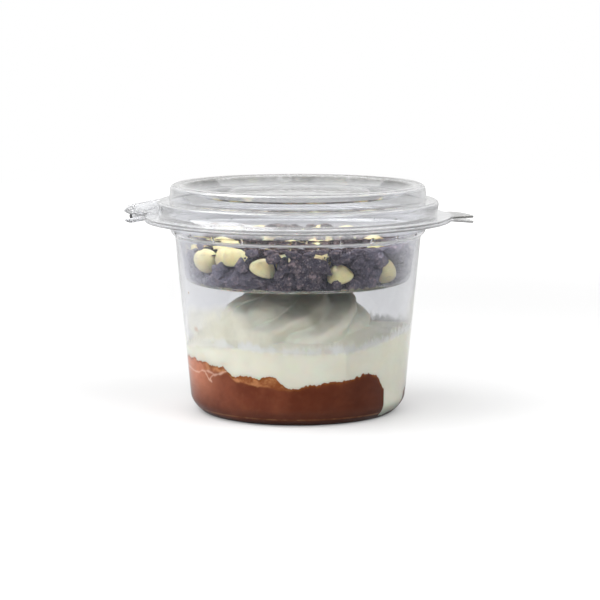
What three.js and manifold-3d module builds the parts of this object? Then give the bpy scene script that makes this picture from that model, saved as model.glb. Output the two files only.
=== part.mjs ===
// A clear hinged dessert pot: a cup of chocolate sauce and whipped yogurt, an insert tray of
// cookie crumbs and white chocolate drops above it, and a domed lid on a living hinge.
//
// Millimetres, Z up. The pot stands on z = 0 around the Z axis and its front faces -Y.
// Azimuths are in degrees round the Z axis, 0 at the front and positive towards the right (+X).

import * as THREE from 'three';
import { mergeVertices } from 'three/addons/utils/BufferGeometryUtils.js';
import Module from 'manifold-3d';

const wasm = await Module();
wasm.setup();

// Driving dimensions

const SHEET = 0.6; // thickness of the clear sheet of cup and lid
const TRAY_SHEET = 0.5;
const GAP = 0.3; // clearance between pieces that lie against each other
const POT_STEPS = 48; // straight facets round the clear pieces
const FOOD_STEPS = 60; // and round the layers of food
const WALL_STEPS = 3; // rings up the side of a layer of food

const FLANGE = { radius: 50.5, cupUnderside: 63.2, lidUnderside: 64.2 };

const CUP = {
  baseLift: 0.8, // the middle of the base is pushed up by this
  liftRadius: 26,
  ringRadius: 27.2, // the pot stands on the flat ring from here to footRadius
  footRadius: 31.8,
  heelRadius: 34.2,
  heelHeight: 2.3,
  wallFootRadius: 35.6,
  wallFootHeight: 4.5,
  wallTopRadius: 40.6,
  wallTopHeight: 58,
  neckRadius: 42.2,
  neckHeight: 59.8,
};

const TRAY = {
  floor: 43,
  floorRadius: 35,
  cornerRadius: 36.8,
  cornerHeight: 43.8,
  wallFootRadius: 37.5,
  wallFootHeight: 45.5,
  wallTopRadius: 39.5,
  wallTopHeight: 58.4,
  neckRadius: 41.2,
  neckHeight: 60.2,
  rimRadius: 45.4,
  rimUnderside: 64.2,
};

const LID = {
  panelHeight: 72,
  panelRadius: 33.5, // the sunk panel in the top
  recessRadius: 37.8,
  recessHeight: 74.7,
  ringInnerRadius: 38.8,
  ringOuterRadius: 41.3,
  top: 75.1,
  drumTopRadius: 42.1,
  drumTopHeight: 74.3,
  drumFootRadius: 42.5,
  stepHeight: 69.9,
  stepRadius: 45.9,
  skirtTopRadius: 46.5,
  skirtTopHeight: 69.3,
  skirtFootRadius: 46.3,
};

// The living hinge: two rolled beads along a straight line outside the flange, one on each half.
const HINGE = {
  azimuth: -112,
  length: 35,
  inner: 46.9, // distances from the pot's axis, square to the hinge line
  root: 50.4,
  crown: 52.3,
  tip: 54.7,
  lip: 52.9,
  lidCrown: 68.2, // heights
  lidTip: 65.7,
  cupCrown: 61.9,
  cupTip: 63,
  round: 0.6, // size of the beads' rounded corners
};

// The finger tabs, one on each half: a straight side, a square nose and a long swept back. The
// cup's bends down by droop and the lid's up by lift.
const TAB = {
  azimuth: 93,
  inner: 46,
  nose: 57.3,
  halfWidth: 8.8,
  sweep: 7,
  corner: 0.8,
  curveSteps: 6,
  droop: 0.5,
  lift: 0.25,
};

// Heights of the food against the wall. Each rise is [azimuth, half width, height].
const SAUCE = {
  level: 15.7,
  rises: [
    [-78, 42, 3.2],
    [-2, 8, -2.6],
    [10, 9, -1.4],
    [36, 6, 0.6],
    [165, 45, -1.6],
  ],
  middle: 13.5, // height under the yogurt's middle
  rings: [0, 0.35, 0.6, 0.78, 0.9, 1], // shares of the way from the axis to the wall
  levelTo: 0.3, // the top is level out to this share
  spill: { from: 45, full: 52.5, until: 79, to: 88, height: 2.4 }, // yogurt runs down to the foot here
};

const YOGURT = {
  level: 25.3,
  rises: [
    [-85, 25, -3],
    [12, 24, -1.3],
    [72, 30, 3.1],
  ],
  shelf: 1.6, // the surface rises by this from the wall to the foot of the mound
  moundRadius: 24.5,
  moundTop: 42.2,
  rings: [0, 0.28, 0.5, 0.7, 0.87, 0.965, 1], // shares of the mound's radius
  fullness: 2.4, // 2 gives a dome, more a steeper side and a flatter top
  flutes: 9,
  fluteDepth: 1.5,
  fluteFade: 0.4, // share of that depth lost at the top
  firstFlute: -20, // azimuth of one flute's foot
  twist: 75, // the flutes run round to the right by this angle from foot to top
  apron: 0.35, // the shelf bends down at this share of its width
  apronDrop: 0.5,
};

const HEAP = {
  steps: 24, // facets round the heap
  level: 53.6,
  rings: [0, 0.3, 0.55, 0.8, 0.95], // shares of the way from the axis to the core's edge
  unevenness: 1.2,
  waves: [[3, -50, 0], [5, 0, -200]], // count, then the turn at the axis and what the edge adds
  shoulderDrop: 2.8, // the core's rim lies this far below its level
  footRise: 2, // height of its foot's bevel
  coreInset: 1.3, // the core stays this far inside the tray, the chunks reach its wall
  chunks: 45, // tried places; a chunk that would cross a drop is left out
  chunkRadius: [2.4, 4.8],
  chunkStretch: [0.7, 1.25],
  chunkCorners: [0.78, 1.12], // shares of the radius at which its corners lie
  chunkTurn: 137.508, // from one chunk's azimuth to the next one's
  chunkSunk: 0.8, // share of its radius that lies inside the tray's wall
  wallHeights: [46, 54],
  topLift: [-0.5, 1],
  topReach: 31,
  chunkRoom: 3.4, // between a drop's middle and a chunk's face
  crest: 57.6, // no chunk stands higher
  seed: 7,
};

// White chocolate drops: a flat back and a domed face that ends in a soft point. The crumbs keep
// off each drop as off one enlarged by roomFactor, and off the way to it over the given distance.
const DROP = { radius: 4.4, height: 5.2, edge: 0.9, facets: 8, roomFactor: 1.1, wayOut: 3 };

// Drops at the tray's wall: azimuth, height, where the point looks (azimuth, tilt), and the distance
// it keeps from the wall if it doesn't touch it.
const WALL_DROPS = [
  [-60, 52, 30, 20],
  [-49, 54.2, -60, 58, 3.8],
  [-36, 54.9, -36, 62],
  [-18.5, 51.6, 46, 61],
  [-5, 53, 10, 40, 5],
  [12, 54.3, 0, 60, 4],
  [23, 49.4, -32, 66],
  [57, 47.9, 72, -20],
  [104, 52.4, 120, 30],
  [128, 48.6, 140, 15],
  [150, 53, 165, 40],
  [176, 49.6, 160, 20],
  [203, 53.2, 215, 35],
  [229, 48.8, 225, 10],
  [254, 52.8, 240, 40],
];

// Drops that lie on the heap: azimuth, distance from the axis, height, then the point as above.
const TOP_DROPS = [
  [-80, 25.5, 55.6, -60, 65],
  [-7, 18.5, 55.9, -20, 62],
  [23, 19.5, 55.8, 40, 60],
  [81, 25.8, 56, 60, 62],
  [150, 17, 55.8, 90, 70],
  [215, 14.5, 55.9, 200, 66],
  [60, 8, 55.7, 30, 75],
];

const COLOURS = {
  clear: 0xdfe3e6,
  sauce: 0x6b3324,
  yogurt: 0xe2e1d2,
  crumb: 0x3b3238,
  drop: 0xe6dcae,
};

// Plain helpers

const rad = THREE.MathUtils.degToRad;
const mix = THREE.MathUtils.lerp;
const smooth = THREE.MathUtils.smoothstep;

// The level direction at an azimuth, and the point at a distance and height along it.
const outward = (azimuth) => new THREE.Vector3(Math.sin(rad(azimuth)), -Math.cos(rad(azimuth)), 0);
const place = (azimuth, radius, height) => outward(azimuth).multiplyScalar(radius).setZ(height);

// The same sequence of numbers between 0 and 1 on every run.
function randomFrom(seed) {
  const modulus = 2147483647;
  const factor = 48271;
  let state = seed * 7919;
  return () => {
    state = (state * factor) % modulus;
    return state / modulus;
  };
}

// A surface closed by shared vertices, with the slivers at poles removed.
function closed(geometry) {
  geometry.deleteAttribute('normal');
  geometry.deleteAttribute('uv');
  const merged = mergeVertices(geometry, 1e-4);
  const corners = merged.index.array;
  const kept = [];
  for (let i = 0; i < corners.length; i += 3) {
    const [a, b, c] = [corners[i], corners[i + 1], corners[i + 2]];
    if (a !== b && b !== c && c !== a) kept.push(a, b, c);
  }
  merged.setIndex(kept);
  return merged;
}

function toSolid(geometry) {
  const surface = closed(geometry);
  return new wasm.Manifold(
    new wasm.Mesh({
      numProp: 3,
      vertProperties: new Float32Array(surface.attributes.position.array),
      triVerts: new Uint32Array(surface.index.array),
    }),
  );
}

function toGeometry(solid) {
  const mesh = solid.getMesh();
  const geometry = new THREE.BufferGeometry();
  geometry.setAttribute('position', new THREE.BufferAttribute(mesh.vertProperties, 3));
  geometry.setIndex(new THREE.BufferAttribute(mesh.triVerts, 1));
  return geometry;
}

function namedMesh(name, geometry, colour, roughness = 0.5) {
  const material = new THREE.MeshStandardMaterial({ color: colour, roughness, metalness: 0 });
  const mesh = new THREE.Mesh(geometry, material);
  mesh.name = name;
  return mesh;
}

// Outlines: x is the distance from the axis (or from the hinge), y the height

const outline = (pairs) => pairs.map(([x, y]) => new THREE.Vector2(x, y));

// The outline moved sideways by a distance, to its left as it runs, with mitred corners.
function offset(path, distance) {
  const lefts = path.slice(1).map((point, i) => {
    const along = point.clone().sub(path[i]).normalize();
    return new THREE.Vector2(-along.y, along.x);
  });
  return path.map((point, i) => {
    const before = lefts[Math.max(i - 1, 0)];
    const after = lefts[Math.min(i, lefts.length - 1)];
    const mitre = before.clone().add(after);
    return point.clone().addScaledVector(mitre, distance / (1 + before.dot(after)));
  });
}

// The closed outline of a sheet that lies on the left of a path.
const sheetOutline = (path, thickness) => [...path, ...offset(path, thickness).reverse()];

// The distance from the axis at a height on an outline that climbs.
function radiusAt(path, height) {
  for (let i = 1; i < path.length; i += 1) {
    const [low, high] = [path[i - 1], path[i]];
    if (high.y > low.y && height <= high.y && height >= low.y) {
      return mix(low.x, high.x, (height - low.y) / (high.y - low.y));
    }
  }
  return path.at(-1).x;
}

// A closed outline turned about the pot's axis.
function turned(points, steps = POT_STEPS) {
  return new THREE.LatheGeometry([...points, points[0]], steps).rotateX(Math.PI / 2);
}

// A solid whose outline changes with the azimuth. Every outline has the same number of points,
// the first and the last of them on the axis.
function turnedUneven(outlineAt, steps = FOOD_STEPS) {
  const columns = Array.from({ length: steps }, (_, i) => {
    const azimuth = (360 * i) / steps;
    return outlineAt(azimuth).map(([radius, height]) => place(azimuth, radius, height));
  });
  const positions = [];
  const triangle = (...corners) => corners.forEach((corner) => positions.push(...corner.toArray()));
  columns.forEach((column, i) => {
    const next = columns[(i + 1) % steps];
    for (let k = 1; k < column.length; k += 1) {
      const [a, b, c, d] = [column[k - 1], column[k], next[k], next[k - 1]];
      // The shorter diagonal, so that two layers fold alike where they meet.
      if (a.distanceTo(c) < b.distanceTo(d)) {
        triangle(a, b, c);
        triangle(a, c, d);
      } else {
        triangle(a, b, d);
        triangle(b, c, d);
      }
    }
  });
  const geometry = new THREE.BufferGeometry();
  geometry.setAttribute('position', new THREE.Float32BufferAttribute(positions, 3));
  return closed(geometry);
}

// A bar of the given section along the hinge line.
function alongHinge(section) {
  const bar = new THREE.ExtrudeGeometry(new THREE.Shape(section), {
    depth: HINGE.length,
    bevelEnabled: false,
  });
  const out = outward(HINGE.azimuth);
  const up = new THREE.Vector3(0, 0, 1);
  const along = out.clone().cross(up);
  const frame = new THREE.Matrix4().makeBasis(out, up, along);
  frame.setPosition(along.multiplyScalar(-HINGE.length / 2));
  return bar.applyMatrix4(frame);
}

// A finger tab: its plan, its underside and how far the nose bends up or down.
function fingerTab(underside, bend) {
  const { inner, nose, halfWidth, sweep, corner } = TAB;
  const plan = new THREE.Shape();
  plan.moveTo(inner, -halfWidth);
  plan.lineTo(nose - corner, -halfWidth);
  plan.quadraticCurveTo(nose, -halfWidth, nose, corner - halfWidth);
  plan.bezierCurveTo(nose - corner, 0, nose - sweep / 2, halfWidth, nose - sweep, halfWidth);
  plan.lineTo(inner, halfWidth);
  const tab = new THREE.ExtrudeGeometry(plan, {
    depth: SHEET,
    bevelEnabled: false,
    curveSegments: TAB.curveSteps,
  });
  const position = tab.attributes.position;
  for (let i = 0; i < position.count; i += 1) {
    const reach = Math.max(0, (position.getX(i) - FLANGE.radius) / (nose - FLANGE.radius));
    position.setZ(i, position.getZ(i) + underside + bend * reach);
  }
  return tab.rotateZ(rad(TAB.azimuth - 90));
}

// Clear pieces

const cupPath = outline([
  [0, CUP.baseLift],
  [CUP.liftRadius, CUP.baseLift],
  [CUP.ringRadius, 0],
  [CUP.footRadius, 0],
  [CUP.heelRadius, CUP.heelHeight],
  [CUP.wallFootRadius, CUP.wallFootHeight],
  [CUP.wallTopRadius, CUP.wallTopHeight],
  [CUP.neckRadius, CUP.neckHeight],
  [CUP.neckRadius, FLANGE.cupUnderside],
  [FLANGE.radius, FLANGE.cupUnderside],
]);

function cup() {
  const { inner, root, crown, tip, lip, cupCrown, cupTip, round } = HINGE;
  const level = FLANGE.cupUnderside;
  const bead = outline([
    [inner, level],
    [root, level],
    [root + round, cupCrown + round],
    [crown - round, cupCrown],
    [crown + round, cupCrown],
    [tip - round, cupTip - round],
    [tip - round / 2, cupTip],
    [lip, level],
  ]);
  const body = toSolid(turned(sheetOutline(cupPath, SHEET)));
  const hinge = toSolid(alongHinge(sheetOutline(bead, SHEET)));
  const tab = toSolid(fingerTab(level, -TAB.droop));
  return body.add(hinge).add(tab);
}

const trayPath = outline([
  [0, TRAY.floor],
  [TRAY.floorRadius, TRAY.floor],
  [TRAY.cornerRadius, TRAY.cornerHeight],
  [TRAY.wallFootRadius, TRAY.wallFootHeight],
  [TRAY.wallTopRadius, TRAY.wallTopHeight],
  [TRAY.neckRadius, TRAY.neckHeight],
  [TRAY.neckRadius, TRAY.rimUnderside],
  [TRAY.rimRadius, TRAY.rimUnderside],
]);

const tray = () => toSolid(turned(sheetOutline(trayPath, TRAY_SHEET)));

function lid() {
  const level = FLANGE.lidUnderside + SHEET;
  const path = outline([
    [FLANGE.radius, level],
    [LID.skirtFootRadius, level],
    [LID.skirtTopRadius, LID.skirtTopHeight],
    [LID.stepRadius, LID.stepHeight],
    [LID.drumFootRadius, LID.stepHeight],
    [LID.drumTopRadius, LID.drumTopHeight],
    [LID.ringOuterRadius, LID.top],
    [LID.ringInnerRadius, LID.top],
    [LID.recessRadius, LID.recessHeight],
    [LID.panelRadius, LID.panelHeight],
    [0, LID.panelHeight],
  ]);
  const { inner, root, crown, tip, lip, lidCrown, lidTip, round } = HINGE;
  const bead = outline([
    [lip, FLANGE.lidUnderside + round],
    [tip, lidTip],
    [tip - round, lidTip + 2 * round],
    [crown + round, lidCrown - round / 2],
    [crown - round / 2, lidCrown],
    [root + round, lidCrown - 2 * round],
    [root, level],
    [inner, level],
  ]);
  const body = toSolid(turned(sheetOutline(path, SHEET)));
  const hinge = toSolid(alongHinge(sheetOutline(bead, SHEET)));
  const tab = toSolid(fingerTab(FLANGE.lidUnderside, TAB.lift));
  return body.add(hinge).add(tab);
}

// Layers of food

// The sum of smooth rises at an azimuth, wherever the circle is cut.
function riseAt(rises, azimuth) {
  return rises.reduce((sum, [at, halfWidth, height]) => {
    const apart = THREE.MathUtils.euclideanModulo(azimuth - at + 180, 360) - 180;
    return sum + height * Math.exp(-((apart / halfWidth) ** 2));
  }, 0);
}

const sauceOutline = offset(cupPath, SHEET + GAP);

// The sauce's top: its height on the wall, and how it levels out to the middle.
function sauceEdge(azimuth) {
  const { from, full, until, to, height } = SAUCE.spill;
  const spilt = smooth(azimuth, from, full) * (1 - smooth(azimuth, until, to));
  return mix(SAUCE.level + riseAt(SAUCE.rises, azimuth), height, spilt);
}

function sauceTop(azimuth) {
  const { rings, middle, levelTo } = SAUCE;
  const edge = sauceEdge(azimuth);
  const reach = radiusAt(sauceOutline, edge);
  return rings.map((part) => [part * reach, mix(middle, edge, smooth(part, levelTo, 1))]);
}

// Points down the inside of the wall between two heights, the first left out.
function downWall(path, from, to) {
  return Array.from({ length: WALL_STEPS }, (_, i) => {
    const height = mix(from, to, (i + 1) / WALL_STEPS);
    return [radiusAt(path, height), height];
  });
}

function sauce() {
  const [middle, lift, ring, foot] = sauceOutline;
  return turnedUneven((azimuth) => [
    ...sauceTop(azimuth),
    ...downWall(sauceOutline, sauceEdge(azimuth), foot.y),
    [ring.x, ring.y],
    [lift.x, lift.y],
    [0, middle.y],
  ]);
}

// The yogurt: a shelf that meets the wall and a fluted mound, each flute turned as it climbs.
function yogurtTop(azimuth) {
  const { level, rises, shelf, moundRadius, moundTop, rings, fullness } = YOGURT;
  const { flutes, fluteDepth, fluteFade, firstFlute, twist, apron, apronDrop } = YOGURT;
  const edge = level + riseAt(rises, azimuth);
  const foot = level + shelf + riseAt(rises, azimuth) / 2;
  const mound = rings.map((part) => {
    const climb = Math.sqrt(1 - part ** fullness);
    const turn = rad(flutes * (azimuth - firstFlute - twist * climb));
    const flute = fluteDepth * Math.cos(turn) * Math.min(1, 2 * part) * (1 - fluteFade * climb);
    return [part * (moundRadius + flute), mix(foot, moundTop, climb)];
  });
  const reach = radiusAt(sauceOutline, edge);
  const bend = mix(mound.at(-1)[0], reach, apron);
  return [...mound, [bend, foot - apronDrop], [reach, edge]];
}

function yogurt() {
  return turnedUneven((azimuth) => {
    const top = yogurtTop(azimuth);
    const under = sauceTop(azimuth).map(([radius, height]) => [radius, height + GAP]);
    const wall = downWall(sauceOutline, top.at(-1)[1], under.at(-1)[1]).slice(0, -1);
    return [...top, ...wall, ...under.reverse()];
  });
}

// Topping

function dropGeometry() {
  const { radius, height, edge, facets } = DROP;
  const profile = outline([
    [0, 0],
    [radius - edge, 0],
    [radius, edge],
    [radius * 0.93, height * 0.42],
    [radius * 0.56, height * 0.78],
    [0, height],
  ]);
  return new THREE.LatheGeometry(profile, facets).rotateX(Math.PI / 2).translate(0, 0, -height / 2);
}

const trayInside = offset(trayPath, TRAY_SHEET + GAP);

// How a drop stands: its middle, and the turn that points it.
function pose(azimuth, radius, height, pointAzimuth, tilt) {
  const point = outward(pointAzimuth).multiplyScalar(Math.cos(rad(tilt))).setZ(Math.sin(rad(tilt)));
  const turn = new THREE.Quaternion().setFromUnitVectors(new THREE.Vector3(0, 0, 1), point);
  return { middle: place(azimuth, radius, height), turn };
}

// A drop at the wall is moved out until the corner nearest the wall is as far from it as stated.
function wallPose([azimuth, height, pointAzimuth, tilt, behind = 0]) {
  const corners = dropGeometry().attributes.position;
  const { turn } = pose(azimuth, 0, height, pointAzimuth, tilt);
  let radius = 0;
  for (let round = 0; round < 8; round += 1) {
    const middle = place(azimuth, radius, height);
    let room = Infinity;
    for (let i = 0; i < corners.count; i += 1) {
      const corner = new THREE.Vector3().fromBufferAttribute(corners, i);
      corner.applyQuaternion(turn).add(middle);
      room = Math.min(room, radiusAt(trayInside, corner.z) - Math.hypot(corner.x, corner.y));
    }
    radius += room;
  }
  return { ...pose(azimuth, radius - behind, height, pointAzimuth, tilt), wayOut: outward(azimuth) };
}

const topPose = (drop) => ({ ...pose(...drop), wayOut: new THREE.Vector3(0, 0, 1) });
const DROP_POSES = [...WALL_DROPS.map(wallPose), ...TOP_DROPS.map(topPose)];

// The heap's core: a disc that fills the tray, with a slightly uneven top.
function heapCore() {
  const [middle, floorEdge] = trayInside;
  const reach = (level) => radiusAt(trayInside, level) - HEAP.coreInset;
  const shoulder = HEAP.level - HEAP.shoulderDrop;
  const foot = middle.y + HEAP.footRise;
  return turnedUneven((azimuth) => {
    const height = (part) =>
      HEAP.waves.reduce((sum, [count, turn, twist]) => {
        const wave = Math.cos(rad(count * azimuth + turn + twist * part));
        return sum + HEAP.unevenness * part * wave;
      }, HEAP.level);
    return [
      ...HEAP.rings.map((part) => [part * reach(HEAP.level), height(part)]),
      [reach(shoulder), shoulder],
      [reach(foot), foot],
      [floorEdge.x - HEAP.coreInset, middle.y],
      [0, middle.y],
    ];
  }, HEAP.steps);
}

// One broken chunk: an icosahedron pulled out of round.
function chunk(random, radius, centre) {
  const rock = closed(new THREE.IcosahedronGeometry(radius, 0));
  const position = rock.attributes.position;
  const stretch = [0, 1, 2].map(() => mix(...HEAP.chunkStretch, random()));
  for (let i = 0; i < position.count; i += 1) {
    const corner = new THREE.Vector3().fromBufferAttribute(position, i);
    corner.multiplyScalar(mix(...HEAP.chunkCorners, random()));
    corner.multiply(new THREE.Vector3(...stretch));
    position.setXYZ(i, corner.x, corner.y, corner.z);
  }
  rock.rotateZ(random() * Math.PI).rotateX(random() * Math.PI);
  return toSolid(rock.translate(...centre.toArray()));
}

// The distance from a point to the middle of the nearest drop.
const roomAround = (point) => Math.min(...DROP_POSES.map(({ middle }) => middle.distanceTo(point)));

// Two chunks in three lie against the wall in turn round it, the rest on top.
function heapChunks() {
  const { wallHeights, topLift, topReach, chunkSunk, chunkTurn, chunkRoom } = HEAP;
  const random = randomFrom(HEAP.seed);
  const tried = Array.from({ length: HEAP.chunks }, (_, i) => {
    const radius = mix(...HEAP.chunkRadius, random() ** 1.5);
    const atWall = i % 3 > 0;
    const height = atWall ? mix(...wallHeights, random()) : HEAP.level + mix(...topLift, random());
    const wall = radiusAt(trayInside, height);
    const reach = atWall ? wall - chunkSunk * radius : topReach * Math.sqrt(random());
    const centre = place(chunkTurn * i, reach, height);
    const piece = chunk(random, radius, centre);
    return { piece, clear: roomAround(centre) > radius + chunkRoom };
  });
  return tried.filter(({ clear }) => clear).map(({ piece }) => piece);
}

// The room a drop takes: the drop enlarged, where it lies and again a little way out.
function dropRoom({ middle, turn, wayOut }) {
  const enlarged = new THREE.Vector3(1, 1, 1).multiplyScalar(DROP.roomFactor);
  const [here, outside] = [0, DROP.wayOut].map((along) => {
    const centre = middle.clone().addScaledVector(wayOut, along);
    return toSolid(dropGeometry().applyMatrix4(new THREE.Matrix4().compose(centre, turn, enlarged)));
  });
  return here.add(outside);
}

function crumbs() {
  const inside = trayInside.filter((point) => point.y < HEAP.crest);
  const brim = new THREE.Vector2(radiusAt(trayInside, HEAP.crest), HEAP.crest);
  const bounds = toSolid(turned([...inside, brim, new THREE.Vector2(0, HEAP.crest)], HEAP.steps));
  const heap = heapChunks().reduce((sum, piece) => sum.add(piece), toSolid(heapCore()));
  const cut = DROP_POSES.reduce((rest, drop) => rest.subtract(dropRoom(drop)), heap.intersect(bounds));
  const pieces = cut.decompose();
  return pieces.reduce((largest, piece) => (piece.volume() > largest.volume() ? piece : largest));
}

// The whole object

const pot = new THREE.Group();
pot.add(namedMesh('cup', toGeometry(cup()), COLOURS.clear, 0.1));
pot.add(namedMesh('tray', toGeometry(tray()), COLOURS.clear, 0.1));
pot.add(namedMesh('chocolate_sauce', sauce(), COLOURS.sauce, 0.3));
pot.add(namedMesh('yogurt', yogurt(), COLOURS.yogurt, 0.45));
pot.add(namedMesh('cookie_crumbs', toGeometry(crumbs()), COLOURS.crumb, 0.85));

const drops = new THREE.Group();
DROP_POSES.forEach(({ middle, turn }, i) => {
  const name = `white_drop_${String(i + 1).padStart(2, '0')}`;
  const mesh = namedMesh(name, closed(dropGeometry()), COLOURS.drop, 0.4);
  mesh.position.copy(middle);
  mesh.quaternion.copy(turn);
  drops.add(mesh);
});

const cover = new THREE.Group();
cover.add(namedMesh('lid', toGeometry(lid()), COLOURS.clear, 0.1));

const dessert = new THREE.Group();
dessert.add(pot, drops, cover);

export default dessert;
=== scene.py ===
import bmesh
import bpy
import numpy as np
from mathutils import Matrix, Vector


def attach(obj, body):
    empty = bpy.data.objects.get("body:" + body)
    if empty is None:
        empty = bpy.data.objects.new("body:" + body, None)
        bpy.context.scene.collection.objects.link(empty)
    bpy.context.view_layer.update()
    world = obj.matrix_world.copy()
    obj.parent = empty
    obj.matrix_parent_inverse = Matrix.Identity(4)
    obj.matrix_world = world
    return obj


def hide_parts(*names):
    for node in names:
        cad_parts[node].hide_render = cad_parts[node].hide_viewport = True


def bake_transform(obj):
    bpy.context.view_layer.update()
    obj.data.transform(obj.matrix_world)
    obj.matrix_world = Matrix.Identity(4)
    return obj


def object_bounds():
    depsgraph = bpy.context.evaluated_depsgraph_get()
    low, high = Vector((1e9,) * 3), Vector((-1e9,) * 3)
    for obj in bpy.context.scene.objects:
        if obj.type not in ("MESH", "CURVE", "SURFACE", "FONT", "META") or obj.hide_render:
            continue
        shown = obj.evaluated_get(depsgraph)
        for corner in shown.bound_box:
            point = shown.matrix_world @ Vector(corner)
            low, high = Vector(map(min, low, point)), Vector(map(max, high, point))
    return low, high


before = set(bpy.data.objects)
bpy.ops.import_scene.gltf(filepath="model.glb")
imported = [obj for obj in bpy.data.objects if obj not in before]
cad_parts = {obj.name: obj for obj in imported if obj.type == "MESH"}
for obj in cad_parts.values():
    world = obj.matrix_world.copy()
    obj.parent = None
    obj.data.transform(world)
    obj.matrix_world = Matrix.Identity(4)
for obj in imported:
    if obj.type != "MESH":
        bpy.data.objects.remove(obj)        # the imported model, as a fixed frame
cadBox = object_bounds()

# A layered yogurt dessert in a clear hinged pot. Lengths below are millimetres, azimuths degrees
# round the pot's axis, 0 at the front and positive to the right; meshes are written in metres.

mm = 0.001
print("frame loaded:", len(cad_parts), "nodes")


# Helpers for shapes

def smooth(low, high, x):
    # An S curve: 0 below low, 1 above high, t²(3 - 2t) between.
    t = np.clip((x - low) / (high - low), 0, 1)
    return t * t * (3 - 2 * t)


def mix(a, b, t):
    # A straight blend, a at t = 0 and b at t = 1.
    return a + (b - a) * t


def apart(azimuth, centre):
    # The signed turn from centre to azimuth, between -180 and 180.
    return (azimuth - centre + 180) % 360 - 180


def climbing(values):
    # Values that only rise, with a hair between equal ones, so that they can be looked up.
    return np.maximum.accumulate(values) + np.arange(len(values)) * 1e-6


def lengths(path):
    # How far along a path each of its points lies.
    return np.concatenate([[0], np.cumsum(np.linalg.norm(np.diff(path, axis=0), axis=1))])


def grain(points, size, seed):
    # Value noise from -1 to 1: the corners of a lattice of cubes get numbers from a hash of sines,
    # and a point blends its cube's eight corners by S curves.
    p = points / size + 100
    cell = np.floor(p)
    f = p - cell
    f = f * f * (3 - 2 * f)
    total = 0
    for corner in np.ndindex(2, 2, 2):
        hashed = np.sin((cell + corner) @ [12.9898, 78.233, 37.719] + 4.137 * seed) * 43758.5453
        weight = np.prod(np.where(np.array(corner) == 1, f, 1 - f), axis=-1)
        total = total + weight * (2 * (hashed - np.floor(hashed)) - 1)
    return total


def rough(points, size, seed, octaves=3):
    # Noise with finer noise on it: each octave has half the size and half the height.
    return sum(grain(points, size / 2 ** k, seed + k) / 2 ** k for k in range(octaves))


def around(radius, height, azimuth):
    # Points at a distance from the axis and a height, for each azimuth: (r sin a, -r cos a, z).
    radius, height, a = np.broadcast_arrays(radius, height, np.radians(azimuth))
    return np.stack([radius * np.sin(a), -radius * np.cos(a), height], -1)


def wallCells(rows, columns, joined=True):
    # Four corners of each cell of a grid; joined closes the last column on the first.
    k = np.arange(rows - 1)[:, None] * columns
    j = np.arange(columns if joined else columns - 1)[None, :]
    n = (j + 1) % columns
    return np.stack([k + j, k + n, k + columns + n, k + columns + j], -1).reshape(-1, 4)


def makePiece(name, points, faces, material, marks=None):
    # A mesh object from points in millimetres; marks are numbers per point, kept as attributes.
    mesh = bpy.data.meshes.new(name)
    mesh.from_pydata((np.reshape(points, (-1, 3)) * mm).tolist(), [], faces.tolist())
    for mark, values in (marks or {}).items():
        layer = mesh.attributes.new(mark, "FLOAT", "POINT")
        layer.data.foreach_set("value", np.ascontiguousarray(np.ravel(values), np.float32))
    work = bmesh.new()
    work.from_mesh(mesh)
    bmesh.ops.remove_doubles(work, verts=work.verts, dist=1e-6)
    for face in work.faces:
        face.smooth = True
    work.to_mesh(mesh)
    work.free()
    mesh.materials.append(material)
    piece = bpy.data.objects.new(name, mesh)
    bpy.context.scene.collection.objects.link(piece)
    return piece


def fit(piece, body, slot, *nodes):
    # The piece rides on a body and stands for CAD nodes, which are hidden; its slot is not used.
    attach(piece, body)
    if nodes:
        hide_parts(*nodes)
    return piece


def thicken(piece, thickness, offset):
    # Gives a surface its thickness: on its inner side at -1, on its outer at 1, on both at 0.
    sheet = piece.modifiers.new("sheet", "SOLIDIFY")
    sheet.thickness = thickness * mm
    sheet.offset = offset
    return sheet


def rounded(corners, cuts, steps=5, hold=0.4):
    # A path through corners with each bend a curve (1-s)²a + 2s(1-s)b + s²c, where a and c lie a cut
    # away from the corner b. One more point, hold away from each end, keeps the flats flat.
    corners = np.array(corners, float)
    s = np.linspace(0, 1, steps)[:, None]
    path = [corners[:1]]
    for before, corner, after, cut in zip(corners[:-2], corners[1:-1], corners[2:], cuts):
        sides = before - corner, after - corner
        a, c = [corner + side * min(cut / np.linalg.norm(side), 0.42) for side in sides]
        a1, c1 = [corner + side * min((cut + hold) / np.linalg.norm(side), 0.48) for side in sides]
        path += [a1[None], (1 - s) ** 2 * a + 2 * s * (1 - s) * corner + s ** 2 * c, c1[None]]
    return np.concatenate([*path, corners[-1:]])


def section(table):
    # The rounded path of a table of distances, heights and cuts.
    table = np.array(table, float)
    return rounded(table[:, :2], table[1:-1, 2])


def leftOf(path, distance):
    # A path moved to its left by a distance, along the normals of its own slopes.
    slope = np.gradient(path, axis=0)
    slope /= np.linalg.norm(slope, axis=1, keepdims=True)
    return path + distance * np.stack([-slope[:, 1], slope[:, 0]], 1)


def frosting(points, bands):
    # The strongest of some bands, each with a middle height, a half height and a strength. The
    # hinge's lips, beyond the flange on the left, are frosted all over.
    height = points[..., 2]
    lips = 0.25 * smooth(50.8, 51.6, np.hypot(points[..., 0], points[..., 1])) * (points[..., 0] < 0)
    strengths = [s * (1 - smooth(0.5, 1, np.abs(height - z) / half)) for z, half, s in bands]
    return np.max([*strengths, lips], 0)


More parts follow.
